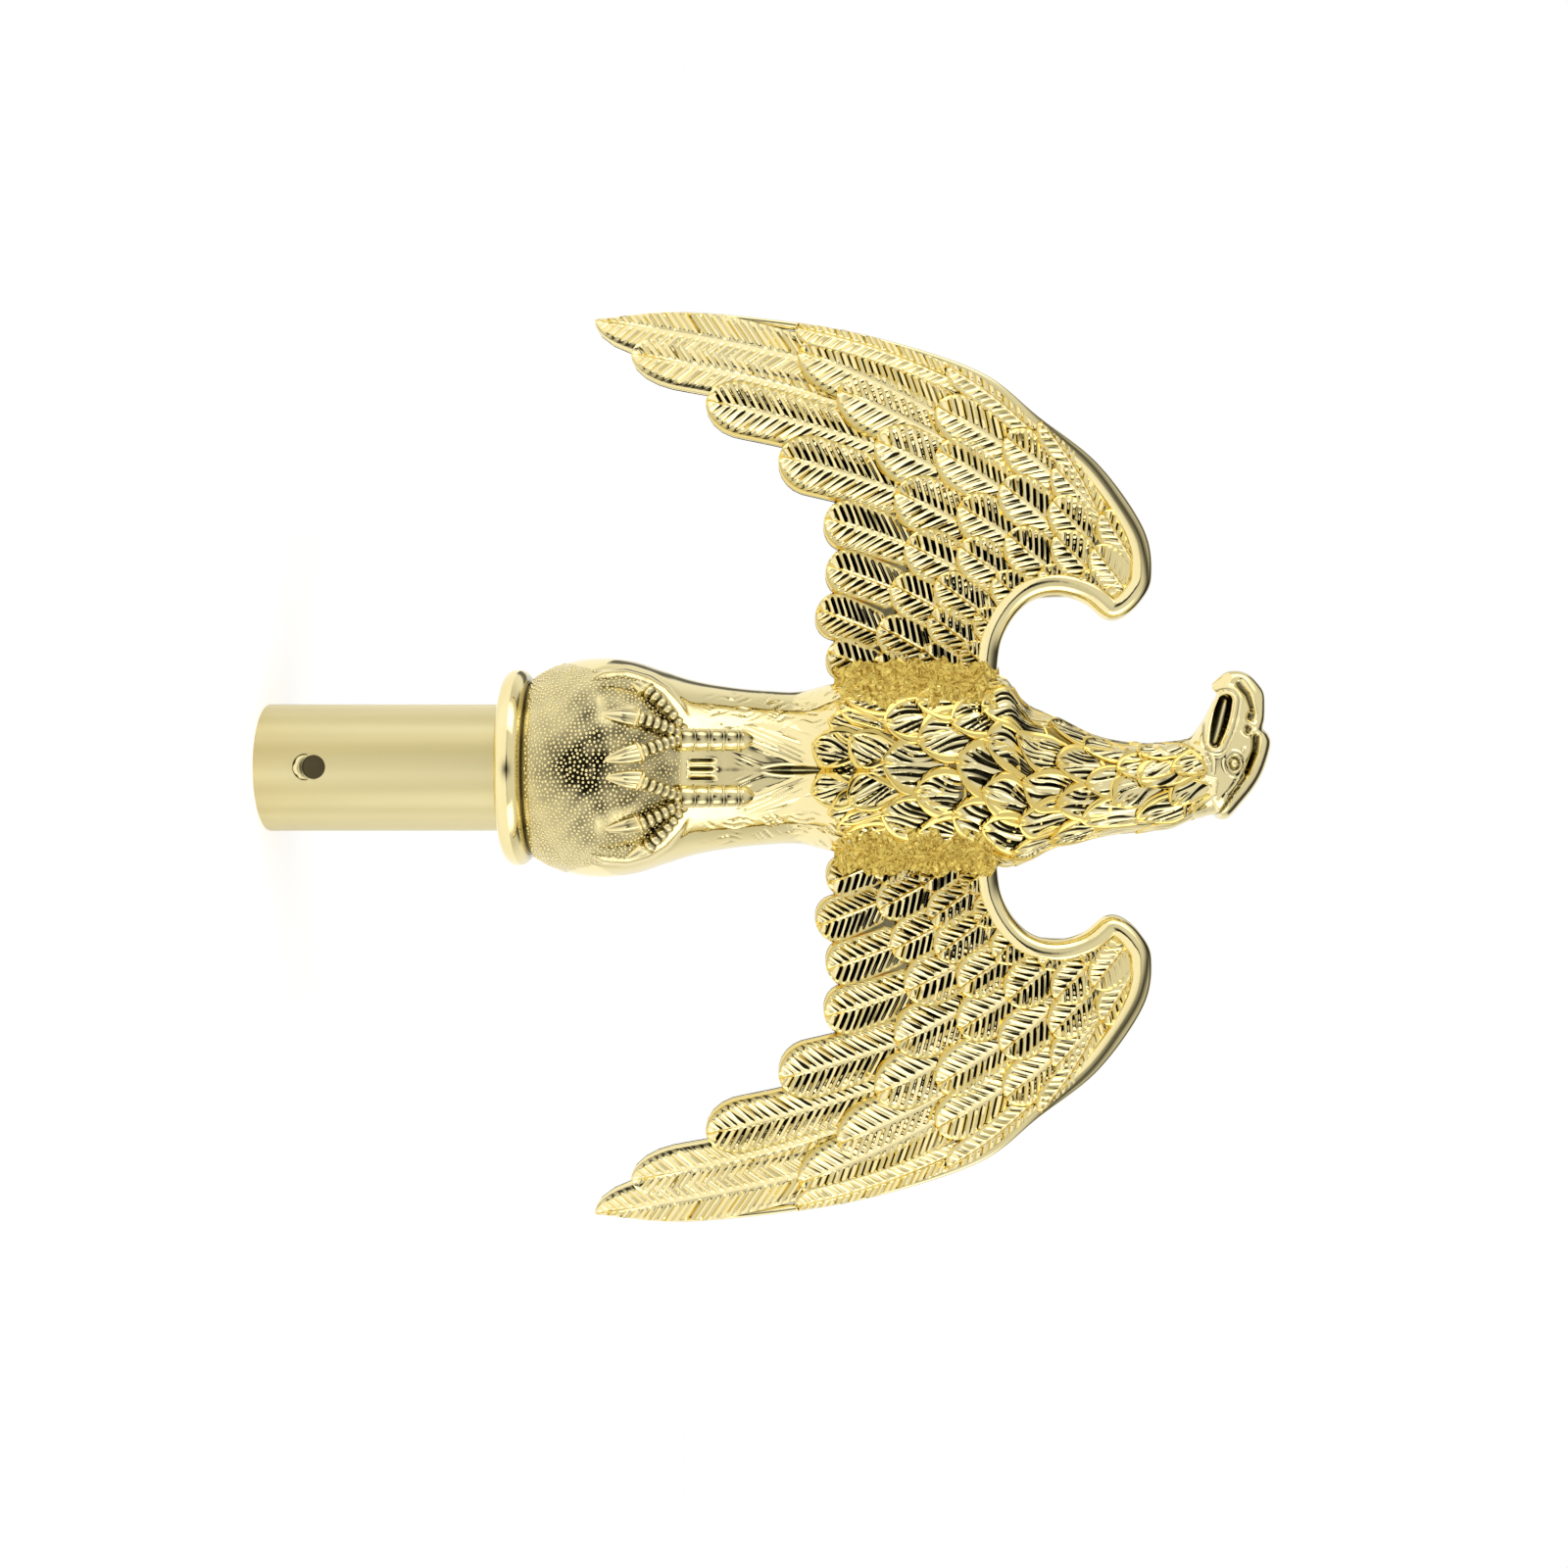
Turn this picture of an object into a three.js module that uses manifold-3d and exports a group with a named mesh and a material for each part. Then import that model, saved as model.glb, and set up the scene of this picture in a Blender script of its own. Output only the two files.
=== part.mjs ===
// A pole-top finial: an eagle with spread wings stands on a stippled ball. The ball sits on a bead
// collar over a plain tube that slips over the end of a pole. It is drawn upright, in millimetres,
// with +Z up, the eagle facing -Y, and the origin at the middle of the tube's open lower end.
import * as THREE from "three";
import { mergeVertices } from "three/addons/utils/BufferGeometryUtils.js";
import Module from "manifold-3d";

const wasm = await Module();
wasm.setup();

// Overall sizes
const overallHeight = 200;
const wingSpan = 175;

// Tube
const tubeDiameter = 25.4;
const tubeWall = 1.5;
const tubeShown = 47.4; // from the open end up to the collar
const tubeInset = 11; // how far the tube reaches into the ball
const screwHoleDiameter = 4.7;
const screwHoleHeight = 11.8;
const burrDiameter = 5.9; // shallow crescent struck beside the screw hole
const burrOffset = 1.1;
const burrDepth = 0.7;

// Collar and ball
const collarDiameter = 39.5;
const collarBead = 2.65; // radius of the collar's round edge
const ballDiameter = 44;
const ballRise = 16.2; // from the middle of the collar to the middle of the ball

// Wings
const wingRootX = 18.5; // where a wing meets the flank
const wingRootDepth = 2; // how far behind the axis the wing leaves the flank
const wingSweep = 17.7; // how far forward the wing tip curls
const plateThickness = 2.6; // web that carries the feathers
const edgeBead = 2.3; // radius of the rolled leading edge at the wrist
const wingFeatherThickness = 1.3;
const quillRise = 0.9; // a feather's middle over its edges
const webSink = 0.2; // the back of a feather sits this far inside the back of the web

// Eagle
const shankRadius = 1.95;
const shankSpread = 5.5; // sideways from the middle to each shank
const toeRadius = 2.2;
const featherLift = 1.4; // how far the tip of a body feather stands out
const fitGap = 0.3; // left between pieces that touch

const tubeRadius = tubeDiameter / 2;
const ballRadius = ballDiameter / 2;
const collarHeight = tubeShown + collarBead;
const ballHeight = collarHeight + ballRise;
const figureHeight = overallHeight - ballHeight; // from the middle of the ball to the crown
const wingReach = wingSpan / 2 - wingRootX;

// The figure is drawn in hundredths of its own height, the wing in hundredths of its own reach.
const figure = (share) => (share / 100) * figureHeight;
const level = (share) => ballHeight + figure(share);
const reach = (share) => (share / 100) * wingReach;

// Solids

function toSolid(geometry) {
  const bare = geometry.clone();
  for (const name of Object.keys(bare.attributes)) {
    if (name !== "position") bare.deleteAttribute(name);
  }
  const merged = mergeVertices(bare, 1e-4);
  const corners = merged.index.array;
  const triVerts = new Uint32Array(corners.length);
  let used = 0;
  for (let i = 0; i < corners.length; i += 3) {
    const [a, b, c] = [corners[i], corners[i + 1], corners[i + 2]];
    if (a !== b && b !== c && c !== a) {
      triVerts.set([a, b, c], used);
      used += 3;
    }
  }
  const mesh = new wasm.Mesh({
    numProp: 3,
    vertProperties: merged.attributes.position.array,
    triVerts: triVerts.slice(0, used),
  });
  const solid = new wasm.Manifold(mesh);
  return solid.volume() < 0 ? toSolid(turnedOut(merged)) : solid;
}

function turnedOut(geometry) {
  const corners = geometry.index.array;
  for (let i = 0; i < corners.length; i += 3) {
    [corners[i + 1], corners[i + 2]] = [corners[i + 2], corners[i + 1]];
  }
  return geometry;
}

function toGeometry(solid, move = (point) => point) {
  const mesh = solid.getMesh();
  const places = new Float32Array(mesh.numVert * 3);
  for (let i = 0; i < mesh.numVert; i++) {
    const from = mesh.vertProperties.subarray(i * mesh.numProp, i * mesh.numProp + 3);
    places.set(move(new THREE.Vector3(...from)).toArray(), i * 3);
  }
  return new THREE.BufferGeometry()
    .setAttribute("position", new THREE.BufferAttribute(places, 3))
    .setIndex(new THREE.BufferAttribute(mesh.triVerts, 1));
}

const joined = (solids) => solids.reduce((whole, next) => whole.add(next));

// A closed skin over rings of points, each ring with as many points as the next.
function skin(rings) {
  const count = rings[0].length;
  const middle = (ring) =>
    ring.reduce((sum, point) => sum.clone().add(point)).divideScalar(count);
  const points = [...rings.flat(), middle(rings[0]), middle(rings.at(-1))];
  const faces = [];
  for (let r = 0; r + 1 < rings.length; r++) {
    for (let i = 0; i < count; i++) {
      const a = r * count + i;
      const b = r * count + ((i + 1) % count);
      faces.push(a, b, a + count, b, b + count, a + count);
    }
  }
  const first = points.length - 2;
  const last = points.length - 1;
  const top = (rings.length - 1) * count;
  for (let i = 0; i < count; i++) {
    const next = (i + 1) % count;
    faces.push(next, i, first, top + i, top + next, last);
  }
  return new THREE.BufferGeometry().setFromPoints(points).setIndex(faces);
}

// A round limb: circles of the given radii along a line of points.
function limb(points, radii, sides) {
  const line = new THREE.CatmullRomCurve3(points);
  const steps = radii.length - 1;
  const rings = radii.map((radius, i) => {
    const middle = line.getPoint(i / steps);
    const along = line.getTangent(i / steps);
    const across = new THREE.Vector3(0, 1, 0).cross(along).normalize();
    const up = along.clone().cross(across);
    return Array.from({ length: sides }, (_, k) => {
      const turn = (2 * Math.PI * k) / sides;
      return middle
        .clone()
        .addScaledVector(across, radius * Math.cos(turn))
        .addScaledVector(up, radius * Math.sin(turn));
    });
  });
  return toSolid(skin(rings));
}

// Values read off a table of stations by its first column, with smooth stretches between them.
function follow(stations, at) {
  const last = stations.length - 1;
  let i = stations.findIndex((station) => station[0] >= at);
  i = i < 0 ? last : Math.max(i, 1);
  const [before, after] = [stations[i - 1], stations[i]];
  const share = THREE.MathUtils.clamp((at - before[0]) / (after[0] - before[0]), 0, 1);
  const slope = (k, column) => {
    const [low, high] = [stations[Math.max(k - 1, 0)], stations[Math.min(k + 1, last)]];
    return (high[column] - low[column]) / (high[0] - low[0]);
  };
  const span = after[0] - before[0];
  return before.map((_, column) => {
    const [from, to] = [before[column], after[column]];
    const [startSlope, endSlope] = [slope(i - 1, column) * span, slope(i, column) * span];
    const [s2, s3] = [share * share, share * share * share];
    return (
      from * (2 * s3 - 3 * s2 + 1) +
      startSlope * (s3 - 2 * s2 + share) +
      to * (3 * s2 - 2 * s3) +
      endSlope * (s3 - s2)
    );
  });
}

// Tube

function socketTube() {
  const length = tubeShown + tubeInset;
  const inner = tubeRadius - tubeWall;
  const wall = new THREE.LatheGeometry(
    [
      new THREE.Vector2(inner, 0),
      new THREE.Vector2(tubeRadius, 0),
      new THREE.Vector2(tubeRadius, length),
      new THREE.Vector2(inner, length),
      new THREE.Vector2(inner, 0),
    ],
    32,
  ).rotateX(Math.PI / 2);
  const drill = (diameter, deep, height) =>
    toSolid(
      new THREE.CylinderGeometry(diameter / 2, diameter / 2, 2 * deep, 12).translate(
        0,
        -tubeRadius,
        height,
      ),
    );
  const hole = drill(screwHoleDiameter, 2 * tubeWall, screwHoleHeight);
  const burr = drill(burrDiameter, burrDepth, screwHoleHeight - burrOffset);
  return toGeometry(toSolid(wall).subtract(hole).subtract(burr));
}

// Ball and collar

function ballAndCollar() {
  const beadCentre = collarDiameter / 2 - collarBead;
  const boreRadius = tubeRadius + fitGap;
  const boreTop = tubeShown + tubeInset + fitGap;
  const profile = [
    new THREE.Vector2(0, boreTop),
    new THREE.Vector2(boreRadius, boreTop),
    new THREE.Vector2(boreRadius, tubeShown),
  ];
  const beadSteps = 5;
  for (let i = 0; i <= beadSteps; i++) {
    const turn = -Math.PI / 2 + (Math.PI * 1.05 * i) / beadSteps;
    profile.push(
      new THREE.Vector2(
        beadCentre + collarBead * Math.cos(turn),
        collarHeight + collarBead * Math.sin(turn),
      ),
    );
  }
  const ballSteps = 8;
  const seam = Math.asin((collarHeight + collarBead * 0.72 - ballHeight) / ballRadius);
  for (let i = 0; i <= ballSteps; i++) {
    const turn = seam + ((Math.PI / 2 - seam) * i) / ballSteps;
    profile.push(
      new THREE.Vector2(
        i === ballSteps ? 0 : ballRadius * Math.cos(turn),
        ballHeight + ballRadius * Math.sin(turn),
      ),
    );
  }
  return toSolid(new THREE.LatheGeometry(profile, 24).rotateX(Math.PI / 2));
}

// A point of the ball's front skin, raised or sunk by some millimetres.
function onBall(x, z, raise) {
  const out = new THREE.Vector3(x, 0, z - ballHeight);
  out.y = -Math.sqrt(Math.max(ballRadius ** 2 - out.lengthSq(), 0));
  out.setLength(ballRadius + raise);
  return out.add(new THREE.Vector3(0, 0, ballHeight));
}

// Trunk: from the skirt of tail feathers round the ball up to the neck. Each station holds its height,
// sideways middle, half width, front and back, in hundredths of the figure's height.
const trunk = [
  [0.0, 0.0, 14.6, -6.0, 16.4],
  [5.6, 0.0, 15.5, -9.5, 16.9],
  [10.0, 0.0, 14.2, -10.6, 16.2],
  [13.4, 0.0, 13.3, -10.2, 14.8],
  [19.0, 0.0, 12.1, -9.5, 12.4],
  [25.3, 0.0, 11.5, -9.3, 10.6],
  [30.0, 0.0, 11.3, -9.6, 9.4],
  [35.0, 0.0, 12.5, -10.4, 8.8],
  [42.0, 0.0, 13.1, -11.2, 8.8],
  [50.0, 0.0, 13.2, -11.2, 8.4],
  [58.0, 0.3, 13.3, -10.0, 7.6],
  [60.8, 0.8, 14.0, -9.4, 7.0],
  [63.0, 2.0, 12.0, -9.0, 6.4],
  [67.4, 2.1, 9.9, -8.4, 5.4],
  [71.9, 2.7, 8.2, -7.8, 4.7],
  [76.3, 2.9, 7.0, -7.5, 4.1],
  [80.7, 3.0, 6.5, -7.4, 3.7],
  [85.0, 2.7, 6.2, -7.3, 3.5],
  [89.6, 1.6, 5.9, -7.0, 3.4],
  [92.0, 0.9, 5.5, -6.6, 3.2],
];
const featherRows = 11;
const firstFeatherRow = 31.5;
const lastFeatherRow = 88.5;
const feathersRound = 13;
const pointsPerFeather = 2;

// A point of the trunk at a share of the figure's height and a turn from the front towards +X.
function onTrunk(share, turn, raise) {
  const [, middle, half, front, back] = follow(trunk, share).map(figure);
  const deep = (back - front) / 2;
  return new THREE.Vector3(
    middle + (half + raise) * Math.sin(turn),
    (front + back) / 2 - (deep + raise) * Math.cos(turn),
    level(share),
  );
}

// Rows of overlapping feathers: each row's lower edge stands out and is scalloped, and the surface runs
// back in above it until it is under the next row's edge.
function featheredTrunk() {
  const around = feathersRound * pointsPerFeather;
  const scallop = 2.2;
  const ring = (share, row, raise) =>
    Array.from({ length: around }, (_, i) => {
      const phase = (i / pointsPerFeather + (row % 2) / 2) % 1;
      const drop = row < 0 ? 0 : Math.sin(Math.PI * phase);
      return onTrunk(
        share - scallop * drop,
        (2 * Math.PI * i) / around,
        raise * (0.45 + 0.55 * drop),
      );
    });
  const rings = [0, 5.6, 10, 14, 20, 26].map((share) => ring(share, -1, 0));
  for (let row = 0; row < featherRows; row++) {
    const share =
      firstFeatherRow + ((lastFeatherRow - firstFeatherRow) * row) / (featherRows - 1);
    rings.push(ring(share + 0.35, row, 0));
    rings.push(ring(share, row, featherLift));
  }
  rings.push(ring(92, -1, 0));
  return toSolid(skin(rings));
}

// The smooth outside of the trunk, which the wing roots are cut to.
function trunkClearance() {
  const rings = trunk.map(([share]) =>
    Array.from({ length: 28 }, (_, i) =>
      onTrunk(share, (2 * Math.PI * i) / 28, featherLift + fitGap),
    ),
  );
  return toSolid(skin(rings));
}

// Legs: ringed shanks in front of the skirt, and on each foot three toes laid over the ball.

function shank(side) {
  const ringCount = 5;
  const radii = [shankRadius * 0.9];
  for (let i = 0; i < ringCount; i++) {
    radii.push(shankRadius, shankRadius * 0.86);
  }
  radii.push(shankRadius * 0.3);
  const line = [13.4, 18.5, 23.6].map((share) => {
    const skinPoint = onTrunk(share, Math.asin((side * shankSpread) / figure(13)), 1.1);
    return new THREE.Vector3(side * shankSpread, skinPoint.y, level(share));
  });
  return limb(line, radii, 6);
}

// Each toe: where its knuckle and its claw's point lie, sideways and in height.
const toes = [
  { knuckle: [1.7, 6.9], point: [1.1, 1.9] },
  { knuckle: [7.8, 5.8], point: [8.3, 1.4] },
  { knuckle: [12.6, 6.2], point: [14.0, 3.4] },
];

// The swelling at the foot of a shank, where its toes meet.
function ankle(side) {
  const middle = onBall(side * shankSpread, level(12.9), 0.8);
  const ball = new THREE.SphereGeometry(toeRadius * 1.15, 6, 5);
  return toSolid(ball.translate(middle.x, middle.y, middle.z));
}

function toe(side, { knuckle, point }) {
  const place = ([across, up], raise) => onBall(side * figure(across), level(up), raise);
  const root = onBall(side * shankSpread, level(12.9), 0.8);
  const end = place(knuckle, 0.9);
  const halfway = onBall((root.x + end.x) / 2, (root.z + end.z) / 2, 1);
  const swell = [0.8, 1, 0.82, 1, 0.8];
  const bone = limb([root, halfway, end], swell.map((share) => share * toeRadius), 5);
  const claw = limb(
    [place(knuckle, 0.8), place(point, 0.1)],
    [0.85, 0.6, 0.12].map((share) => share * toeRadius),
    5,
  );
  return bone.add(claw);
}

// Tail: broad feathers fanned down behind the ball.
function tail() {
  const featherCount = 5;
  const fan = 0.62;
  return joined(
    Array.from({ length: featherCount }, (_, i) => {
      const turn = fan * ((2 * i) / (featherCount - 1) - 1);
      const width = figure(4.4);
      const behind = (share, radius) =>
        new THREE.Vector3(
          radius * Math.sin(turn * share),
          radius * Math.cos(turn * share),
          0,
        );
      const rings = [
        [16, 0.7, 0.7, 1],
        [6, 0.95, 0.92, 1],
        [-4, 1, 1, 1],
        [-10.5, 1, 0.98, 0.55],
      ].map(([share, spread, out, full]) => {
        const middle = behind(spread, (ballRadius + 0.9 + (i % 2) * 0.7) * out);
        const across = new THREE.Vector3(middle.y, -middle.x, 0).setLength(width * full);
        const deep = middle.clone().setLength(1);
        middle.z = level(share);
        return [
          middle.clone().add(across),
          middle.clone().addScaledVector(deep, 0.9),
          middle.clone().sub(across),
          middle.clone().addScaledVector(deep, -2.4),
        ];
      });
      return toSolid(skin(rings));
    }),
  );
}

// Head, turned in profile to the eagle's right. Each station holds its sideways place, middle height,
// half height, half thickness and depth, from the nape to the beak's hooked tip.
const headDepth = -2.2;
const head = [
  [7.6, 92.4, 1.5, 1.3],
  [6.6, 92.6, 3.2, 2.9],
  [3.6, 93.0, 4.6, 4.2],
  [0.0, 93.4, 5.6, 4.8],
  [-3.6, 94.2, 5.6, 4.4],
  [-6.6, 95.2, 4.8, 3.6],
  [-9.2, 95.7, 3.8, 2.7],
  [-11.6, 95.6, 3.3, 2.0],
  [-13.4, 95.0, 2.7, 1.6],
];
const beakHook = [
  [-11.4, 96.6, 2.0],
  [-13.1, 95.5, 1.75],
  [-13.6, 93.5, 1.3],
  [-12.9, 91.7, 0.45],
];
const lowerJaw = [
  [-2.5, 89.2, 2.6],
  [-7.2, 91.2, 1.9],
  [-10.6, 92.3, 1.3],
  [-12.2, 92.4, 0.6],
];

function headOf() {
  const sides = 12;
  const rings = head.map(([across, up, tall, thick]) =>
    Array.from({ length: sides }, (_, i) => {
      const turn = (2 * Math.PI * i) / sides;
      return new THREE.Vector3(
        figure(across),
        figure(headDepth + thick * Math.cos(turn)),
        level(up + tall * Math.sin(turn)),
      );
    }),
  );
  const bar = (stations) =>
    limb(
      stations.map(
        ([across, up]) => new THREE.Vector3(figure(across), figure(headDepth), level(up)),
      ),
      stations.map(([, , radius]) => figure(radius)),
      6,
    );
  const round = (radius, across, up, forward, flat) =>
    toSolid(
      new THREE.SphereGeometry(figure(radius), 8, 5)
        .scale(1, flat, 1)
        .translate(figure(across), figure(headDepth - forward), level(up)),
    );
  const brow = limb(
    [
      [-6.2, 97.0],
      [-1.5, 97.4],
      [3.2, 94.6],
    ].map(
      ([across, up]) =>
        new THREE.Vector3(figure(across), figure(headDepth - 3.4), level(up)),
    ),
    [0.5, 1.3, 1.3, 0.6].map(figure),
    6,
  );
  const mouth = round(1.0, -7.0, 92.6, 2.4, 0.8);
  return toSolid(skin(rings))
    .add(bar(beakHook))
    .add(bar(lowerJaw))
    .add(brow)
    .add(round(1.5, -1.6, 94.3, 3.9, 0.75))
    .subtract(mouth);
}

function eagleOnBall() {
  const legs = [-1, 1].flatMap((side) => [
    shank(side),
    ankle(side),
    ...toes.map((each) => toe(side, each)),
  ]);
  return toGeometry(joined([ballAndCollar(), featheredTrunk(), headOf(), tail(), ...legs]));
}

// Wings. A wing is laid out flat: x runs out from the flank, z up from the ball, and -y is its front.
// Everything is in hundredths of the wing's reach, measured from the flank and from the wing's foot.
const wingFoot = 34.2; // height of the wing's foot, in hundredths of the figure's height

// The leading edge from the wing tip over the wrist, round its hook and into the bay by the neck.
const leadingEdge = [
  [97.8, -65],
  [99.6, -41],
  [97, -9],
  [92.5, 17],
  [83.5, 43],
  [72.5, 60],
  [59.5, 77.5],
  [42, 91],
  [28.5, 94],
  [20, 88.5],
  [17, 82],
  [22.5, 73],
  [22.5, 62],
  [14.5, 53],
  [3.5, 49.5],
  [-4, 49.5],
];

// Rows of feathers from the trailing edge up. Tips run from the outer end of the row to the inner one.
// Lean is the tilt of the quill from upright in degrees, and curl is how much it gains up to its root.
const wingRows = [
  {
    tips: [
      [95.9, -65],
      [88, -55.5],
      [76.5, -34.8],
      [61.8, -14.2],
      [44.8, -0.9],
      [31.6, -0.3],
      [19.3, -3.3],
      [7.4, -0.1],
    ],
    count: 8,
    length: [62, 18],
    width: [11, 12.5],
    lean: [7, 20],
    curl: [16, 4],
  },
  {
    tips: [
      [91.6, -7.2],
      [65.8, 13.2],
      [37.8, 22.2],
      [5.8, 13.3],
    ],
    count: 8,
    length: [42, 15],
    width: [10.5, 11],
    lean: [15, 24],
    curl: [14, 4],
  },
  {
    tips: [
      [74.9, 30.1],
      [43, 37.6],
      [9.7, 27.2],
    ],
    count: 6,
    length: [26, 13],
    width: [10.5, 9],
    lean: [25, 34],
    curl: [14, 4],
  },
  {
    tips: [
      [66.8, 49.9],
      [54, 49.6],
      [31.6, 48.4],
    ],
    count: 4,
    length: [19, 14],
    width: [10.5, 10.5],
    lean: [32, 38],
    curl: [12, 8],
  },
  {
    tips: [
      [58.7, 64.1],
      [49.4, 63.8],
      [39.9, 65.1],
    ],
    count: 3,
    length: [18, 16],
    width: [9, 10],
    lean: [40, 42],
    curl: [10, 10],
  },
  {
    tips: [
      [46.2, 78.3],
      [36.4, 77],
    ],
    count: 2,
    length: [15, 14],
    width: [8, 8],
    lean: [52, 50],
    curl: [10, 10],
  },
  {
    tips: [
      [94.6, -9.7],
      [85.2, 32.9],
      [71.5, 58.5],
    ],
    count: 3,
    length: [56, 38, 34],
    width: [7, 8],
    lean: [10, 44],
    curl: [20, 34],
  },
];

// A point of the flat wing.
function onWing(out, up, front) {
  return new THREE.Vector3(wingRootX + reach(out), -front, level(wingFoot) + reach(up));
}

// Curls the flat wing forward towards its tip.
function curled(point) {
  const out = Math.max((point.x - wingRootX) / wingReach, 0);
  return new THREE.Vector3(
    point.x,
    point.y + wingRootDepth - wingSweep * out ** 1.5,
    point.z,
  );
}

const longFeather = 25; // feathers past this length are drawn with a belly between root and tip

// One feather: a blade with a raised quill, its root sunk in the web and its tip standing proud.
function wingFeather({ tip, length, width, lean, curl }) {
  const belly = length > longFeather ? [[0.45, 1]] : [];
  const stations = [[0, 0.42], [0.12, 0.94], ...belly, [1, 0.8]];
  const radians = Math.PI / 180;
  let [out, up] = tip;
  let last = 0;
  const rings = stations.map(([share, full]) => {
    const turn = (lean + curl * (share + last) * 0.5) * radians;
    const step = (share - last) * length;
    out -= step * Math.sin(turn);
    up += step * Math.cos(turn);
    last = share;
    const here = (lean + curl * share) * radians;
    const half = (width / 2) * full;
    const [sideOut, sideUp] = [half * Math.cos(here), half * Math.sin(here)];
    const proud = plateThickness / 2 + wingFeatherThickness * (1 - share);
    const point = share === 0 ? 0.1 * width : 0;
    return [
      onWing(out + sideOut, up + sideUp, proud - quillRise / 2),
      onWing(out + point * Math.sin(here), up - point * Math.cos(here), proud + quillRise / 2),
      onWing(out - sideOut, up - sideUp, proud - quillRise / 2),
      onWing(out, up, webSink - plateThickness / 2),
    ];
  });
  return toSolid(skin(rings));
}

function rowOfFeathers({ tips, count, length, width, lean, curl }) {
  const line = new THREE.CatmullRomCurve3(tips.map(([out, up]) => new THREE.Vector3(out, up, 0)));
  return Array.from({ length: count }, (_, i) => {
    const share = i / (count - 1);
    const between = (ends) => {
      const place = share * (ends.length - 1);
      const low = Math.min(Math.floor(place), ends.length - 2);
      return ends[low] + (ends[low + 1] - ends[low]) * (place - low);
    };
    const tip = line.getPoint(share);
    return wingFeather({
      tip: [tip.x, tip.y],
      length: between(length),
      width: between(width),
      lean: between(lean),
      curl: between(curl),
    });
  });
}

const edgeLine = new THREE.CatmullRomCurve3(
  leadingEdge.map(([out, up]) => new THREE.Vector3(out, up, 0)),
);

// The web under the feathers is drawn over ribs, each from the roots of the trailing feathers to the
// leading edge.
const webRibs = [
  [[-6, 6], [-6, 47.5]],
  [[12, 6], [10, 49]],
  [[22, 6], [21.5, 60]],
  [[32, 7], [27, 86]],
  [[45, 8], [44, 87]],
  [[60, 0], [61, 73]],
  [[70, -10], [75, 54]],
  [[80, -22], [88, 27]],
  [[90, -42], [96.5, -18]],
];

function web() {
  const across = 3;
  const half = plateThickness / 2;
  const rings = webRibs.map(([low, high]) => {
    const at = (k, front) => {
      const [out, up] = low.map((value, axis) => value + ((high[axis] - value) * k) / across);
      return onWing(out, up, front);
    };
    const line = [0, 1, 2, 3];
    return [...line.map((k) => at(k, half)), ...line.toReversed().map((k) => at(k, -half))];
  });
  return toSolid(skin(rings));
}

// The rolled edge, thick at the wrist and fading towards the wing tip.
function rolledEdge() {
  const steps = 17;
  const start = 0.2;
  const rings = Array.from({ length: steps + 1 }, (_, i) => {
    const at = start + ((1 - start) * i) / steps;
    const grown = THREE.MathUtils.smoothstep(at, start, 0.5);
    const radius = edgeBead * (0.45 + 0.55 * grown);
    const point = edgeLine.getPoint(at);
    const along = edgeLine.getTangent(at);
    const inward = new THREE.Vector3(along.y, -along.x, 0).multiplyScalar(-1);
    const sides = 5;
    return Array.from({ length: sides }, (_, k) => {
      const turn = (2 * Math.PI * k) / sides;
      const inset = radius * (1 + Math.cos(turn));
      const flat = onWing(point.x, point.y, radius * 0.25 + radius * Math.sin(turn));
      return flat.add(new THREE.Vector3(inward.x * inset, 0, inward.y * inset));
    });
  });
  return toSolid(skin(rings));
}

// The rounded wrist at the top of the wing, inside the hook of the leading edge.
function wrist() {
  const [out, up, across, tall] = [30.5, 80.5, 13, 12.5];
  return toSolid(
    new THREE.SphereGeometry(1, 10, 4)
      .scale(reach(across), plateThickness * 0.6, reach(tall))
      .translate(wingRootX + reach(out), 0, level(wingFoot) + reach(up)),
  );
}

function wing() {
  const flat = joined([
    web(),
    wrist(),
    rolledEdge(),
    ...wingRows.flatMap((row) => rowOfFeathers(row)),
  ]);
  return toSolid(toGeometry(flat, curled)).subtract(trunkClearance());
}

const leftWingSolid = wing();
const mirrored = (point) => new THREE.Vector3(-point.x, point.y, point.z);

// The finial

const gold = { color: 0xe6cc74, metalness: 1, roughness: 0.12 };
const satin = { color: 0xcfc08a, metalness: 1, roughness: 0.4 };

function piece(name, geometry, look) {
  const mesh = new THREE.Mesh(geometry, new THREE.MeshStandardMaterial(look));
  mesh.name = name;
  return mesh;
}

const finial = new THREE.Group();
finial.add(piece("socket_tube", socketTube(), satin));
finial.add(piece("eagle_on_ball", eagleOnBall(), gold));
finial.add(piece("left_wing", toGeometry(leftWingSolid), gold));
finial.add(piece("right_wing", turnedOut(toGeometry(leftWingSolid, mirrored)), gold));

export default finial;
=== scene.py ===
import bpy, bmesh, math
import numpy as np
from mathutils import Matrix, Vector, noise


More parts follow.
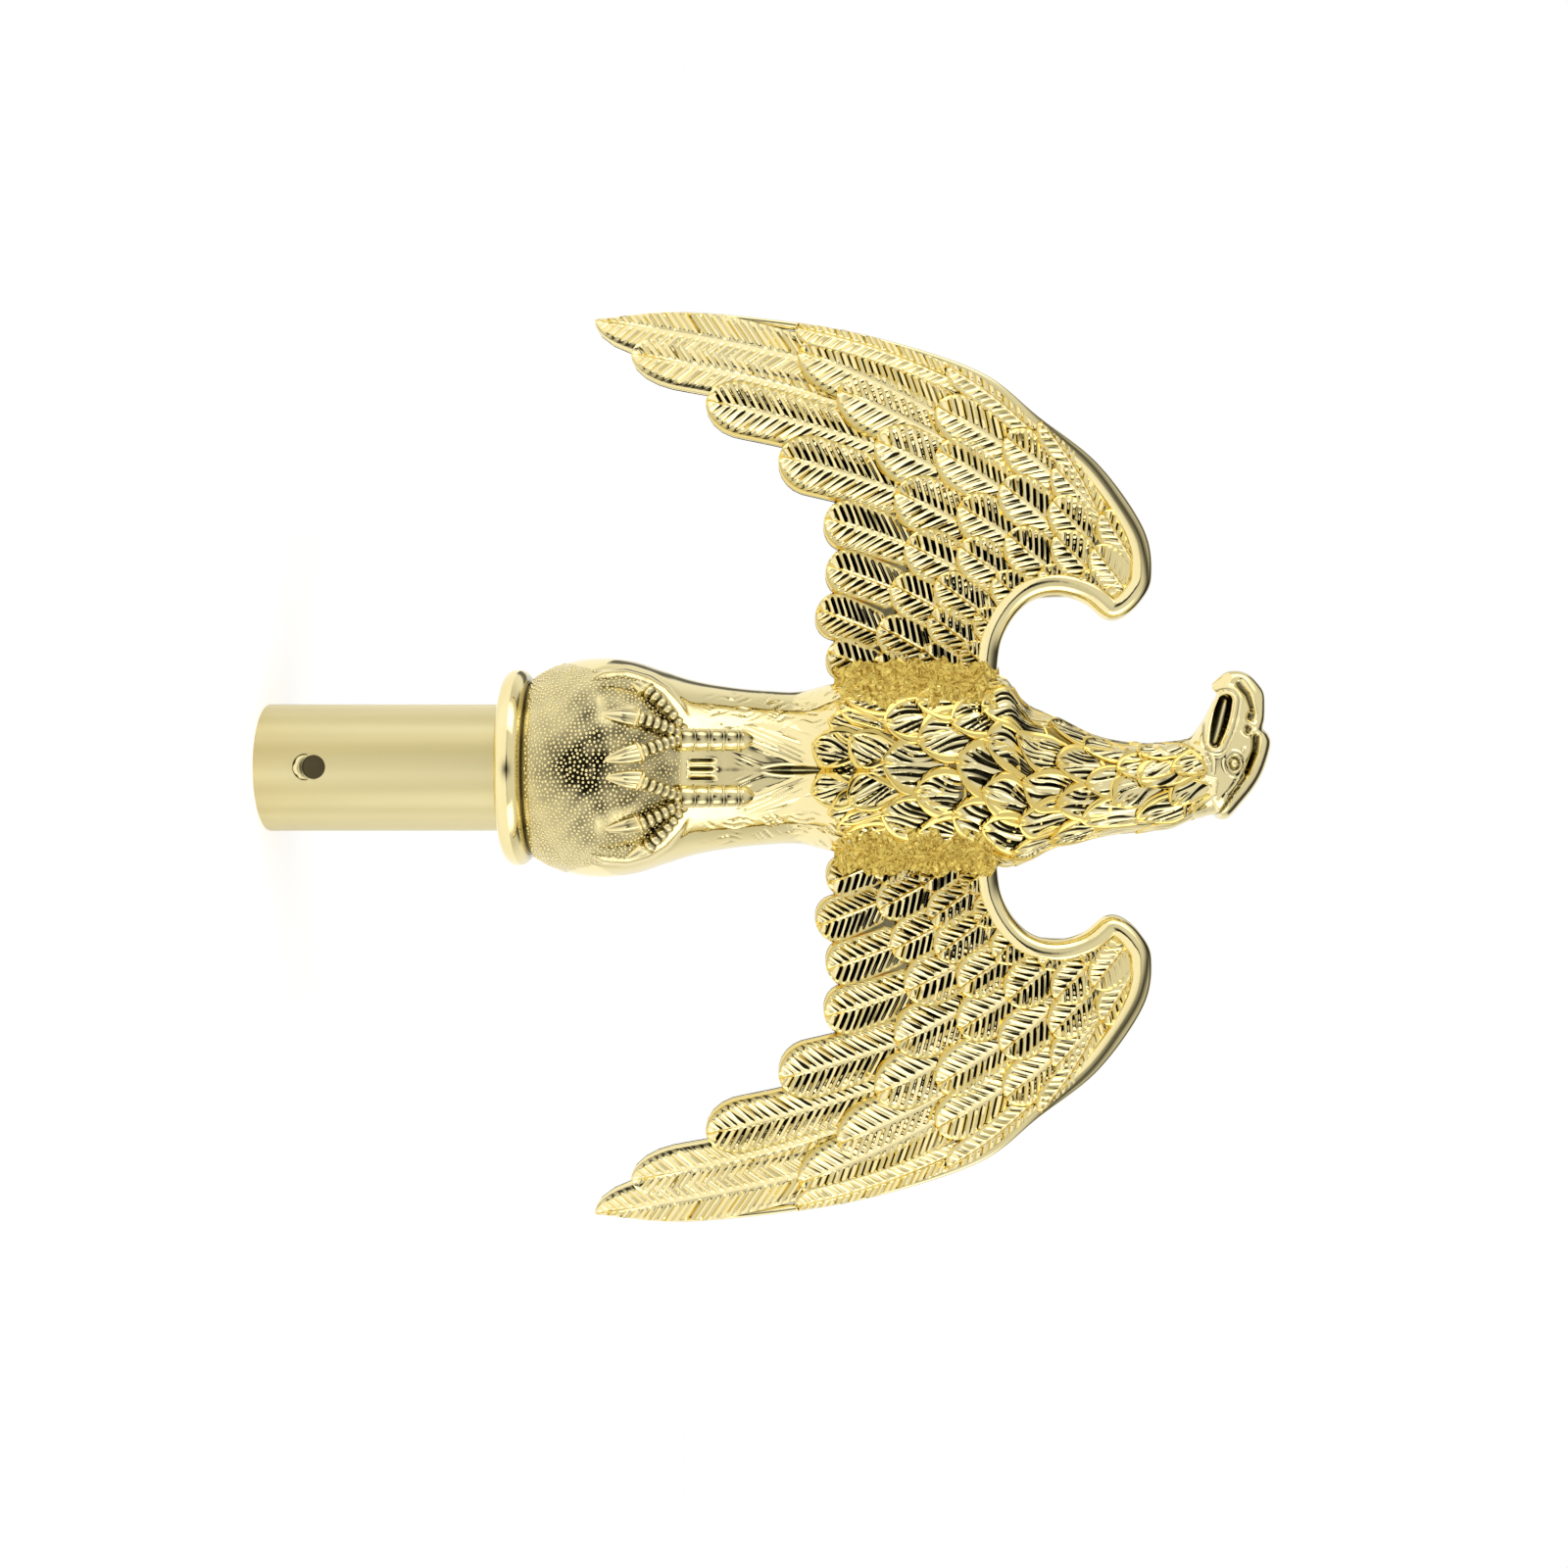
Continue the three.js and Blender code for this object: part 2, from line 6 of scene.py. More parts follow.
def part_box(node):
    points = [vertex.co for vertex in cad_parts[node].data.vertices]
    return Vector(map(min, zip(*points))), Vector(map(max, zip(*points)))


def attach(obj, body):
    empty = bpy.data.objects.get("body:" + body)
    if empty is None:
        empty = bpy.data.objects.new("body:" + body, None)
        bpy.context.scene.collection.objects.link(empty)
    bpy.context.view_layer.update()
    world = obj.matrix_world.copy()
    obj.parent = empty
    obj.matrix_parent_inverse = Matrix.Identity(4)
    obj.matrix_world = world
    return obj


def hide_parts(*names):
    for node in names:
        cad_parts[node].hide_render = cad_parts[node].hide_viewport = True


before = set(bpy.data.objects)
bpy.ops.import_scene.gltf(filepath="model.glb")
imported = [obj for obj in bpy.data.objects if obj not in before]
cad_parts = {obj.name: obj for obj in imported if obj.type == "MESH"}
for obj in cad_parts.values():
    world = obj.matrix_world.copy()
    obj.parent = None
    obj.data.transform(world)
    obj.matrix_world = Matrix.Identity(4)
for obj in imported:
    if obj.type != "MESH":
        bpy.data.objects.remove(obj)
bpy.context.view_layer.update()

mm = 0.001
bodyName = "root"

# Sizes read off the frame, in millimetres.
eagleLow, _ = (np.array(corner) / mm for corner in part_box("eagle_on_ball"))
_, wingHigh = (np.array(corner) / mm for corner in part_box("left_wing"))
_, tubeHigh = (np.array(corner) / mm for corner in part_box("socket_tube"))
tubeRadius, tubeTop = tubeHigh[0], tubeHigh[2]
collarUnderside = eagleLow[2]
wingTipX = wingHigh[0]

ball = {
    "radius": 22.0,
    "rise": 18.85,  # from the collar's underside to the middle of the ball
    "collarBead": 2.65,
    "collarRadius": 19.75,
    "stippleBead": 0.37,
    "stippleGap": 0.7,
    "seed": 4,
}
ballHeight = collarUnderside + ball["rise"]

# Camera: level, in front of the breast, turned so that the pole lies along the picture.
cameraSetting = {
    "place": (3.3, -374.5, 103.2),
    "focalPixels": 1902.5,
    "pictureSide": 1600,
    "sensor": 36.0,
}


def makeCamera(setting):
    data = bpy.data.cameras.new("camera")
    data.sensor_width = setting["sensor"]
    data.lens = setting["sensor"] * setting["focalPixels"] / setting["pictureSide"]
    data.clip_start = 0.01
    camera = bpy.data.objects.new("camera", data)
    bpy.context.scene.collection.objects.link(camera)
    right, up, back = Vector((0, 0, 1)), Vector((-1, 0, 0)), Vector((0, -1, 0))
    turn = Matrix((right, up, back)).transposed().to_4x4()
    camera.matrix_world = Matrix.Translation(Vector(setting["place"]) * mm) @ turn
    bpy.context.scene.camera = camera


makeCamera(cameraSetting)
print("camera placed")


# Small tools


def smoothStep(low, high, value):
    t = np.clip((value - low) / (high - low), 0, 1)
    return t * t * (3 - 2 * t)


def bell(distance, width):
    return np.exp(-((distance / width) ** 2))


# Reads smooth columns off a table of stations whose first column rises.
def follow(stations, at):
    table = np.array(stations, float)
    key = table[:, 0]
    slope = np.gradient(table, key, axis=0)
    i = np.clip(np.searchsorted(key, at) - 1, 0, len(key) - 2)
    span = (key[i + 1] - key[i])[:, None]
    s = np.clip((at - key[i])[:, None] / span, 0, 1)
    low, high = table[i], table[i + 1]
    return (
        low * (2 * s**3 - 3 * s**2 + 1)
        + slope[i] * span * (s**3 - 2 * s**2 + s)
        + high * (3 * s**2 - 2 * s**3)
        + slope[i + 1] * span * (s**3 - s**2)
    )


# A Catmull-Rom line through the points, as count points.
def smoothLine(points, count):
    points = np.array(points, float)
    padded = np.vstack([2 * points[0] - points[1], points, 2 * points[-1] - points[-2]])
    t = np.linspace(0, len(points) - 1, count)
    i = np.minimum(t.astype(int), len(points) - 2)
    s = (t - i)[:, None]
    a, b, c, d = (padded[i + k] for k in range(4))
    square = (2 * a - 5 * b + 4 * c - d) * s**2
    return 0.5 * (2 * b + (c - a) * s + square + (3 * b - a - 3 * c + d) * s**3)


def fullTurn(count):
    return np.linspace(0, 2 * np.pi, count, endpoint=False)


# A level ring round the pole, from the front towards +X.
def ringAt(radius, height, turn):
    return np.stack([radius * np.sin(turn), -radius * np.cos(turn), np.full(len(turn), height)], 1)


def meshFrom(name, points, faces):
    mesh = bpy.data.meshes.new(name)
    mesh.from_pydata(np.asarray(points, float).tolist(), [], faces)
    mesh.validate()
    return mesh


# Squares between rings of points that follow one another.
def ringFaces(rings, around, closed=True):
    steps = around if closed else around - 1
    faces = []
    for first in range(0, (rings - 1) * around, around):
        for k in range(steps):
            a, b = first + k, first + (k + 1) % around
            faces.append((a, b, b + around, a + around))
    return faces


# A closed skin over rings of points, with a point in the middle of each end.
def loft(name, rings, shade=None):
    rings = np.asarray(rings, float)
    count, around = rings.shape[:2]
    points = np.vstack([rings.reshape(-1, 3), rings[0].mean(0), rings[-1].mean(0)])
    faces = ringFaces(count, around)
    first, last = count * around, count * around + 1
    top = (count - 1) * around
    for k in range(around):
        n = (k + 1) % around
        faces.append((n, k, first))
        faces.append((top + k, top + n, last))
    mesh = meshFrom(name, points, faces)
    if shade is not None:
        setShade(mesh, np.append(np.ravel(shade), (0, 0)))
    return mesh


# How much painted shade darkens the plating at each point, from 0 to 1.
def setShade(mesh, values):
    values = np.clip(np.asarray(values, np.float32), 0, 1)
    mesh.attributes.new("shade", "FLOAT", "POINT").data.foreach_set("value", values)


# The mesh with its doubles merged and its faces turned outwards.
def cleaned(mesh, mergeDistance=1e-4):
    work = bmesh.new()
    work.from_mesh(mesh)
    bmesh.ops.remove_doubles(work, verts=work.verts, dist=mergeDistance)
    bmesh.ops.dissolve_degenerate(work, edges=work.edges, dist=1e-6)
    bmesh.ops.recalc_face_normals(work, faces=work.faces)
    work.to_mesh(mesh)
    work.free()
    return mesh


def coordinates(mesh):
    places = np.empty(len(mesh.vertices) * 3, np.float32)
    mesh.vertices.foreach_get("co", places)
    return places.reshape(-1, 3).astype(float)


def setCoordinates(mesh, places):
    mesh.vertices.foreach_set("co", np.asarray(places, np.float32).ravel())
    mesh.update()


paintNames = ("phase", "carve", "grooveShade", "paintedReflection", "shade")  # what the plating reads, with its painted shade and painted reflection
shapeNames = (  # what only the feather tree reads
    "length", "width", "lean", "curl", "lift", "sink", "bank", "point", "grooveShading",
    "around", "along", "tipX", "tipZ",
)


# One mesh of all, with the plating's numbers on every point.
def joinedMesh(name, meshes):
    for mesh in meshes:
        for attribute in [item.name for item in mesh.attributes]:
            if attribute in shapeNames:
                mesh.attributes.remove(mesh.attributes[attribute])
        for label in paintNames:
            if label not in mesh.attributes:
                mesh.attributes.new(label, "FLOAT", "POINT")
    work = bmesh.new()
    for mesh in meshes:
        work.from_mesh(mesh)
    whole = bpy.data.meshes.new(name)
    work.to_mesh(whole)
    work.free()
    return whole


# A mesh made with one of bmesh's own shapes, then placed.
def bmeshShape(name, create, placing, **sizes):
    work = bmesh.new()
    create(work, **sizes)
    bmesh.ops.transform(work, matrix=placing, verts=work.verts)
    mesh = bpy.data.meshes.new(name)
    work.to_mesh(mesh)
    work.free()
    return mesh


def ellipsoid(name, middle, radii, segments=48):
    placing = Matrix.Translation(middle) @ Matrix.Diagonal((*radii, 1))
    sizes = {"u_segments": segments, "v_segments": segments // 2, "radius": 1}
    return bmeshShape(name, bmesh.ops.create_uvsphere, placing, **sizes)


def cylinderCutter(radius, place, depth):
    placing = Matrix.Translation(place) @ Matrix.Rotation(math.radians(90), 4, "X")
    sizes = {"segments": 48, "radius1": radius, "radius2": radius, "depth": depth}
    return bmeshShape("cutter", bmesh.ops.create_cone, placing, cap_ends=True, **sizes)


# Scales a mesh from millimetres to metres and enters it as a piece that replaces CAD nodes.
def makePiece(name, mesh, material, nodes, smoothAngle=40):
    mesh.transform(Matrix.Scale(mm, 4))
    mesh.materials.clear()
    mesh.materials.append(material)
    mesh.polygons.foreach_set("material_index", [0] * len(mesh.polygons))
    mesh.name = name
    piece = bpy.data.objects.new(name, mesh)
    bpy.context.scene.collection.objects.link(piece)
    mesh.shade_smooth()
    mesh.set_sharp_from_angle(angle=math.radians(smoothAngle))
    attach(piece, bodyName)
    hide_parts(*nodes)
    triangles = sum(len(face.vertices) - 2 for face in mesh.polygons)
    places = coordinates(mesh) / mm
    low, high = places.min(0).round(2), places.max(0).round(2)
    print(f"{name}: {triangles} triangles, from {low} to {high} mm")


# Node trees


# A number field in a node tree, so that a shape can be written as a sum.
class nodeValue:
    def __init__(self, tree, socket):
        self.tree = tree
        self.socket = socket

    def apply(self, operation, *others):
        node = self.tree.nodes.new("ShaderNodeMath")
        node.operation = operation
        for index, item in enumerate((self, *others)):
            if isinstance(item, nodeValue):
                self.tree.links.new(item.socket, node.inputs[index])
            else:
                node.inputs[index].default_value = item
        return nodeValue(self.tree, node.outputs[0])

    def __add__(self, other):
        return self.apply("ADD", other)

    def __radd__(self, other):
        return self.apply("ADD", other)

    def __sub__(self, other):
        return self.apply("SUBTRACT", other)

    def __rsub__(self, other):
        return self.apply("MULTIPLY", -1.0).apply("ADD", other)

    def __mul__(self, other):
        return self.apply("MULTIPLY", other)

    def __rmul__(self, other):
        return self.apply("MULTIPLY", other)

    def __truediv__(self, other):
        return self.apply("DIVIDE", other)

    def clamped(self, low=0.0, high=1.0):
        return self.apply("MAXIMUM", low).apply("MINIMUM", high)

    def smooth(self, low, high):
        t = ((self - low) / (high - low)).clamped()
        return t * t * (3.0 - 2.0 * t)


def newTree(name, numbers):
    tree = bpy.data.node_groups.new(name, "GeometryNodeTree")
    tree.interface.new_socket("Geometry", in_out="INPUT", socket_type="NodeSocketGeometry")
    tree.interface.new_socket("Geometry", in_out="OUTPUT", socket_type="NodeSocketGeometry")
    for label, value in numbers.items():
        kind = "NodeSocketInt" if isinstance(value, int) else "NodeSocketFloat"
        socket = tree.interface.new_socket(label, in_out="INPUT", socket_type=kind)
        socket.default_value = value
    tree.interface.new_socket("Material", in_out="INPUT", socket_type="NodeSocketMaterial")
    source = tree.nodes.new("NodeGroupInput")
    sink = tree.nodes.new("NodeGroupOutput")
    values = {label: nodeValue(tree, source.outputs[label]) for label in numbers}
    return tree, source, sink, values


# A node with its settings made, fed by the given sockets or plain values.
def addNode(tree, kind, links=(), **settings):
    node = tree.nodes.new(kind)
    for key, value in settings.items():
        setattr(node, key, value)
    for key, value in dict(links).items():
        if isinstance(value, nodeValue):
            value = value.socket
        if isinstance(value, bpy.types.NodeSocket):
            tree.links.new(value, node.inputs[key])
        else:
            node.inputs[key].default_value = value
    return node


def namedNumber(tree, name):
    node = addNode(tree, "GeometryNodeInputNamedAttribute", {"Name": name}, data_type="FLOAT")
    return nodeValue(tree, node.outputs["Attribute"])


def storeNumber(tree, geometry, name, value):
    links = {"Geometry": geometry, "Name": name, "Value": value}
    kinds = {"data_type": "FLOAT", "domain": "POINT"}
    return addNode(tree, "GeometryNodeStoreNamedAttribute", links, **kinds).outputs["Geometry"]


# The x, y and z of the points that a tree runs over.
def positionValues(tree):
    place = addNode(tree, "GeometryNodeInputPosition")
    split = addNode(tree, "ShaderNodeSeparateXYZ", {"Vector": place.outputs[0]})
    return [nodeValue(tree, socket) for socket in split.outputs]


# Copies of a mesh on points, as plain geometry.
def copiesOn(tree, links):
    copies = addNode(tree, "GeometryNodeInstanceOnPoints", links)
    links = {"Geometry": copies.outputs["Instances"]}
    return addNode(tree, "GeometryNodeRealizeInstances", links).outputs["Geometry"]


def finishedTree(tree, source, sink, geometry):
    links = {"Geometry": geometry, "Material": source.outputs["Material"]}
    painted = addNode(tree, "GeometryNodeSetMaterial", links)
    tree.links.new(painted.outputs["Geometry"], sink.inputs["Geometry"])
    return tree


# Runs a tree over a mesh and gives the result back as a plain mesh.
def grown(name, mesh, tree, inputs, material):
    maker = bpy.data.objects.new(name, mesh)
    bpy.context.scene.collection.objects.link(maker)
    modifier = maker.modifiers.new(name, "NODES")
    modifier.node_group = tree
    for item in tree.interface.items_tree:
        if item.in_out != "INPUT":
            continue
        if item.name == "Material":
            modifier[item.identifier] = material
        elif item.name in inputs:
            modifier[item.identifier] = inputs[item.name]
    view = bpy.context.evaluated_depsgraph_get()
    plain = bpy.data.meshes.new_from_object(maker.evaluated_get(view))
    bpy.data.objects.remove(maker)
    return plain


# Loose points that carry numbers for a tree to read.
def pointMesh(name, points, numbers):
    mesh = meshFrom(name, points, [])
    for label, values in numbers.items():
        mesh.attributes.new(label, "FLOAT", "POINT").data.foreach_set("value", values)
    return mesh


# The feather: a closed blade with a raised rim, a quill and barbs. It is laid out flat, with its
# tip at the point that carries it, its root up and inward, and its front towards -Y.
featherSetting = {
    "Ring Points": 28,
    "Rows": 60,
    "Barbs": 14.0,
    "Fan": 0.0,  # 0 has barbs sweeping off the quill, 1 has grooves that run with it
    "Barb Depth": 0.5,
    "Rim Height": 0.35,
    "Quill Height": 0.35,
    "Crown": 0.45,
    "Thickness": 1.3,
    "Sweep": 0.95,  # how far barbs sweep to the tip, in half widths
    "Uneven": 0.35,  # how much deeper the barbs are on the outer vane
    "Root Taper": 0.2,
    "Tip Power": 0.5,  # 0.5 rounds the tip like an ellipse, more makes it pointed
    "Bare Tip": 0.5,  # how far from the tip the barbs and their painted shade start, in half widths
    "Inner Shade": 0.0,  # how dark the painted shade in the inner vane's grooves is against the outer vane's
    "Rim From": 0.79,  # where the rim starts, in half widths from the quill
    "Root Shade": 0.0,  # how much darker the painted shade in the grooves gets towards the root
}


def featherTree():
    tree, source, sink, given = newTree("feather", featherSetting)
    counts = {"Vertices X": given["Ring Points"], "Vertices Y": given["Rows"]}
    grid = addNode(tree, "GeometryNodeMeshGrid", counts)
    x, y, z = positionValues(tree)
    blade = storeNumber(tree, grid.outputs["Mesh"], "around", x + 0.5)
    blade = storeNumber(tree, blade, "along", y + 0.5)
    quills = storeNumber(tree, source.outputs["Geometry"], "tipX", x)
    quills = storeNumber(tree, quills, "tipZ", z)
    dots = addNode(tree, "GeometryNodeMeshToPoints", {"Mesh": quills})
    blades = copiesOn(tree, {"Points": dots.outputs["Points"], "Instance": blade})

    length = namedNumber(tree, "length")
    half = namedNumber(tree, "width") * 0.5
    lean = namedNumber(tree, "lean")
    curl = namedNumber(tree, "curl")
    a = namedNumber(tree, "around")
    s = namedNumber(tree, "along") * length

    # Where a barb that leaves the quill at s meets the edge.
    swept = half * given["Sweep"]
    edge = s - swept * (1.0 - (s * -1.0 / swept).apply("EXPONENT"))
    rounding = (1.0 - (edge / (half * namedNumber(tree, "point"))).clamped()).apply("POWER", 2.0)
    taper = 1.0 - given["Root Taper"] * edge / length
    pinch = ((length - s) / (length * 0.06)).clamped().apply("SQRT")
    outline = half * (1.0 - rounding).apply("POWER", given["Tip Power"]) * taper * pinch

    # Across the blade: the top runs from edge to edge over most of the ring, then the back
    # returns.
    topShare = 0.82
    isBack = a.apply("GREATER_THAN", topShare + 1e-4)
    onTop = (a / topShare).clamped() * 2.0 - 1.0
    onBack = 1.0 - ((a - topShare) / (1 - topShare)).clamped() * 2.0
    across = onTop + (onBack - onTop) * isBack
    off = across.apply("ABSOLUTE")
    off = 0.5 * off + 0.5 * off * off * (3.0 - 2.0 * off)
    across = across.apply("SIGN") * off
    p = s - (s - edge) * off
    lateral = across * outline

    turn = lean + curl * p / length
    middle = lean + curl * p / length * 0.5
    x = namedNumber(tree, "tipX") - p * middle.apply("SINE") + lateral * turn.apply("COSINE")
    z = namedNumber(tree, "tipZ") + p * middle.apply("COSINE") + lateral * turn.apply("SINE")

    share = (p / length).clamped()
    base = namedNumber(tree, "lift") * (1.0 - share) + namedNumber(tree, "sink") * share
    base = base + namedNumber(tree, "bank") * across
    waver = (s / length * 9.0 + namedNumber(tree, "tipX") * 2.3 + across * 2.0).apply("SINE")
    waver = waver * (0.035 + 0.055 * given["Fan"])
    uneven = (s / length * 41.0 + namedNumber(tree, "tipZ")).apply("SINE") * 0.004
    fanned = lateral.apply("ABSOLUTE") / (half * (1.0 - 0.3 * s / length))
    phase = given["Barbs"] * (
        (s / length + uneven) * (1.0 - given["Fan"]) + (fanned + waver) * given["Fan"]
    )
    wave = (phase * math.pi).apply("SINE").apply("ABSOLUTE") - 0.62
    rimFrom = given["Rim From"]
    inside = off.smooth(0.05, 0.16) * (1.0 - off.smooth(rimFrom - 0.03, rimFrom + 0.08))
    inside = inside * (s / half).smooth(given["Bare Tip"] * 0.44, given["Bare Tip"] * 1.4)
    nearTip = 1.0 - (s / half).smooth((1.0 - rimFrom) * 0.76, (1.0 - rimFrom) * 1.43)
    atTip = 1.0 - (s / half).smooth(0.0, 0.14)
    rimShare = off.smooth(rimFrom, rimFrom + 0.11).apply("MAXIMUM", nearTip)
    rim = rimShare * given["Rim Height"]
    drop = off.smooth(0.94, 1.0).apply("MAXIMUM", atTip) * given["Thickness"] * 0.62
    quill = (1.0 - off.smooth(0.0, 0.11)) * given["Quill Height"]
    dome = (1.0 - across * across) * given["Crown"]
    # The shading number sets the painted shade in the grooves and also makes the barbs deeper.
    deep = given["Barb Depth"] * (0.45 + 0.75 * namedNumber(tree, "grooveShading"))
    carved = deep * wave * inside * (1.0 + given["Uneven"] * across.apply("SIGN"))
    top = base + dome + carved + rim - drop + quill
    back = base - given["Thickness"]
    height = top + (back - top) * isBack
    spot = addNode(tree, "ShaderNodeCombineXYZ", {"X": x, "Y": height * -1.0, "Z": z})
    moved = {"Geometry": blades, "Position": spot.outputs[0]}
    shaped = addNode(tree, "GeometryNodeSetPosition", moved)
    front = 1.0 - isBack
    outer = 0.5 + 0.5 * across.apply("SIGN")
    # How dark the painted groove shade is on each vane, darker by the quill and varying from barb
    # to barb.
    byQuill = 0.3 + 0.95 * (1.0 - off.smooth(0.24, 0.68))
    inner = given["Inner Shade"] + (1.0 - given["Inner Shade"]) * byQuill
    vane = inner + ((1.12 - 0.3 * off) - inner) * outer
    vane = vane * (0.88 + 0.16 * (phase * 2.4 + namedNumber(tree, "tipX")).apply("SINE"))
    # What the plating reads: the barbs' phase, the carved share, the painted shade in the grooves
    # and the painted reflection on the rims.
    coat = storeNumber(tree, shaped.outputs["Geometry"], "phase", phase)
    coat = storeNumber(tree, coat, "carve", inside * front)
    paintedShadeMask = inside * front * (s / half).smooth(given["Bare Tip"] * 0.5, given["Bare Tip"] * 1.6)
    paintedShadeMask = paintedShadeMask * (1.0 + given["Root Shade"] * (s / length).smooth(0.15, 0.45))
    coat = storeNumber(tree, coat, "grooveShade", namedNumber(tree, "grooveShading") * vane * paintedShadeMask)
    paintedReflection = rimShare * front * (namedNumber(tree, "grooveShading") * 3.0).clamped()
    coat = storeNumber(tree, coat, "paintedReflection", paintedReflection)
    merging = {"Geometry": coat, "Distance": 0.002}
    merged = addNode(tree, "GeometryNodeMergeByDistance", merging)
    return finishedTree(tree, source, sink, merged.outputs["Geometry"])


feather = featherTree()
print("feather tree built")


# Feathers grown from blades, each with its tip and the numbers that the tree reads.
def feathersFrom(blades, inputs, material):
    labels = [label for label in blades[0] if label != "tip"]
    numbers = {label: [blade[label] for blade in blades] for label in labels}
    points = pointMesh("tips", [blade["tip"] for blade in blades], numbers)
    return grown("feathers", points, feather, {**featherSetting, **inputs}, material)


# Materials


def newMaterial(name, colour, metallic, roughness, specular=0.5):
    material = bpy.data.materials.new(name)
    material.use_nodes = True
    shader = material.node_tree.nodes["Principled BSDF"]
    shader.inputs["Base Color"].default_value = (*colour, 1)
    shader.inputs["Metallic"].default_value = metallic
    shader.inputs["Roughness"].default_value = roughness
    shader.inputs["Specular IOR Level"].default_value = specular
    return material, material.node_tree, shader


def noiseOn(tree, scale, detail, stretch=(1, 1, 1), roughness=0.5, distortion=0.0):
    where = addNode(tree, "ShaderNodeTexCoord")
    fitting = {"Vector": where.outputs["Object"], "Scale": stretch}
    numbers = {
        "Vector": addNode(tree, "ShaderNodeMapping", fitting).outputs["Vector"],
        "Scale": scale,
        "Detail": detail,
        "Roughness": roughness,
        "Distortion": distortion,
    }
    return addNode(tree, "ShaderNodeTexNoise", numbers).outputs["Fac"]


def bumpFrom(tree, shader, height, strength, distance):
    numbers = {"Strength": strength, "Distance": distance, "Height": height}
    bump = addNode(tree, "ShaderNodeBump", numbers)
    tree.links.new(bump.outputs["Normal"], shader.inputs["Normal"])


# The middle of a noise's range, spread from low to high.
def spread(tree, value, low, high):
    numbers = {"Value": value, "From Min": 0.3, "From Max": 0.7, "To Min": low, "To Max": high}
    return addNode(tree, "ShaderNodeMapRange", numbers).outputs["Result"]


# From one colour, or whatever feeds a socket, to another colour.
def mixed(tree, share, first, second):
    if isinstance(first, tuple):
        first = (*first, 1)
    links = {"Factor": share, "A": first, "B": (*second, 1)}
    return addNode(tree, "ShaderNodeMix", links, data_type="RGBA").outputs["Result"]


# The places that a material or the world is read at, as x, y and z.
def coordinateValues(tree, kind):
    where = addNode(tree, "ShaderNodeTexCoord")
    split = addNode(tree, "ShaderNodeSeparateXYZ", {"Vector": where.outputs[kind]})
    return [nodeValue(tree, socket) for socket in split.outputs]


# Plating colours: pale and deep gold mixed at random, a deeper gold painted as the reflection of
# gold on rims and in grooves, and near black painted as shade.
plating = {
    "pale": (0.93, 0.82, 0.46),
    "deep": (0.89, 0.76, 0.38),
    "paintedReflection": (0.82, 0.62, 0.16),
    "grooveShade": (0.012, 0.01, 0.004),
    "lineSoftness": 0.13,
}


def paintNumber(tree, name):
    node = addNode(tree, "ShaderNodeAttribute", attribute_name=name)
    return nodeValue(tree, node.outputs["Fac"])


# Bright gold at random tones, with a painted reflection of deeper gold on rims and in grooves, and
# painted black shade in the grooves and wherever the shade attribute asks.
def platingMaterial():
    material, tree, shader = newMaterial("goldPlating", plating["pale"], 1.0, 0.07)
    groove = 1.0 - (paintNumber(tree, "phase") * math.pi).apply("SINE").apply("ABSOLUTE")
    grooveShade, carve = paintNumber(tree, "grooveShade"), paintNumber(tree, "carve")
    soft = plating["lineSoftness"]
    # Painted shade: black lines along the grooves, as dark as the groove shade asks.
    line = ((groove - (1.0 - grooveShade)) / soft * 0.5 + 0.5).clamped() * (grooveShade * 4.0).clamped()
    dark = line.apply("MAXIMUM", paintNumber(tree, "shade")).clamped()
    # Painted reflection: deeper gold on the rims and in the carved grooves, where gold would mirror
    # gold.
    paintedReflection = paintNumber(tree, "paintedReflection").apply("MAXIMUM", carve * groove.smooth(0.3, 0.9)) * 0.85
    tone = spread(tree, noiseOn(tree, 60, 3), 0.0, 1.0)
    colour = mixed(tree, tone, plating["pale"], plating["deep"])
    colour = mixed(tree, paintedReflection.clamped(), colour, plating["paintedReflection"])
    colour = mixed(tree, dark, colour, plating["grooveShade"])
    tree.links.new(colour, shader.inputs["Base Color"])
    wear = spread(tree, noiseOn(tree, 220, 4), 0.05, 0.12)
    tree.links.new(wear, shader.inputs["Roughness"])
    bumpFrom(tree, shader, noiseOn(tree, 420, 2), 0.25, 0.00012)
    return material


# Satin colours: low and high for the painted reflection bands, and the painted shade inside the
# tube.
satinFinish = {"low": (0.6, 0.51, 0.25), "high": (0.78, 0.69, 0.39), "inside": (0.16, 0.12, 0.06)}


# Champagne metal drawn lengthwise, with random lengthwise bands as painted reflections, and painted
# shade darkening the inside of the tube.
def satinMaterial():
    material, tree, shader = newMaterial("satinTube", (0.72, 0.63, 0.36), 1.0, 0.36)
    streaks = noiseOn(tree, 900, 5, stretch=(1, 1, 0.03))
    paintedReflectionBands = spread(tree, noiseOn(tree, 170, 1, stretch=(1, 1, 0.02)), 0.0, 1.0)
    colour = mixed(tree, paintedReflectionBands, satinFinish["low"], satinFinish["high"])
    x, y = (value / mm for value in coordinateValues(tree, "Object")[:2])
    paintedShadeInside = 1.0 - (x * x + y * y).apply("SQRT").smooth(tubeRadius - 0.9, tubeRadius - 0.35)
    colour = mixed(tree, paintedShadeInside * 0.9, colour, satinFinish["inside"])
    tree.links.new(colour, shader.inputs["Base Color"])
    tree.links.new(spread(tree, streaks, 0.3, 0.38), shader.inputs["Roughness"])
    bumpFrom(tree, shader, streaks, 0.15, 0.00003)
    return material


fillerFinish = {"low": (0.38, 0.2, 0.006), "high": (1.0, 0.8, 0.22)}


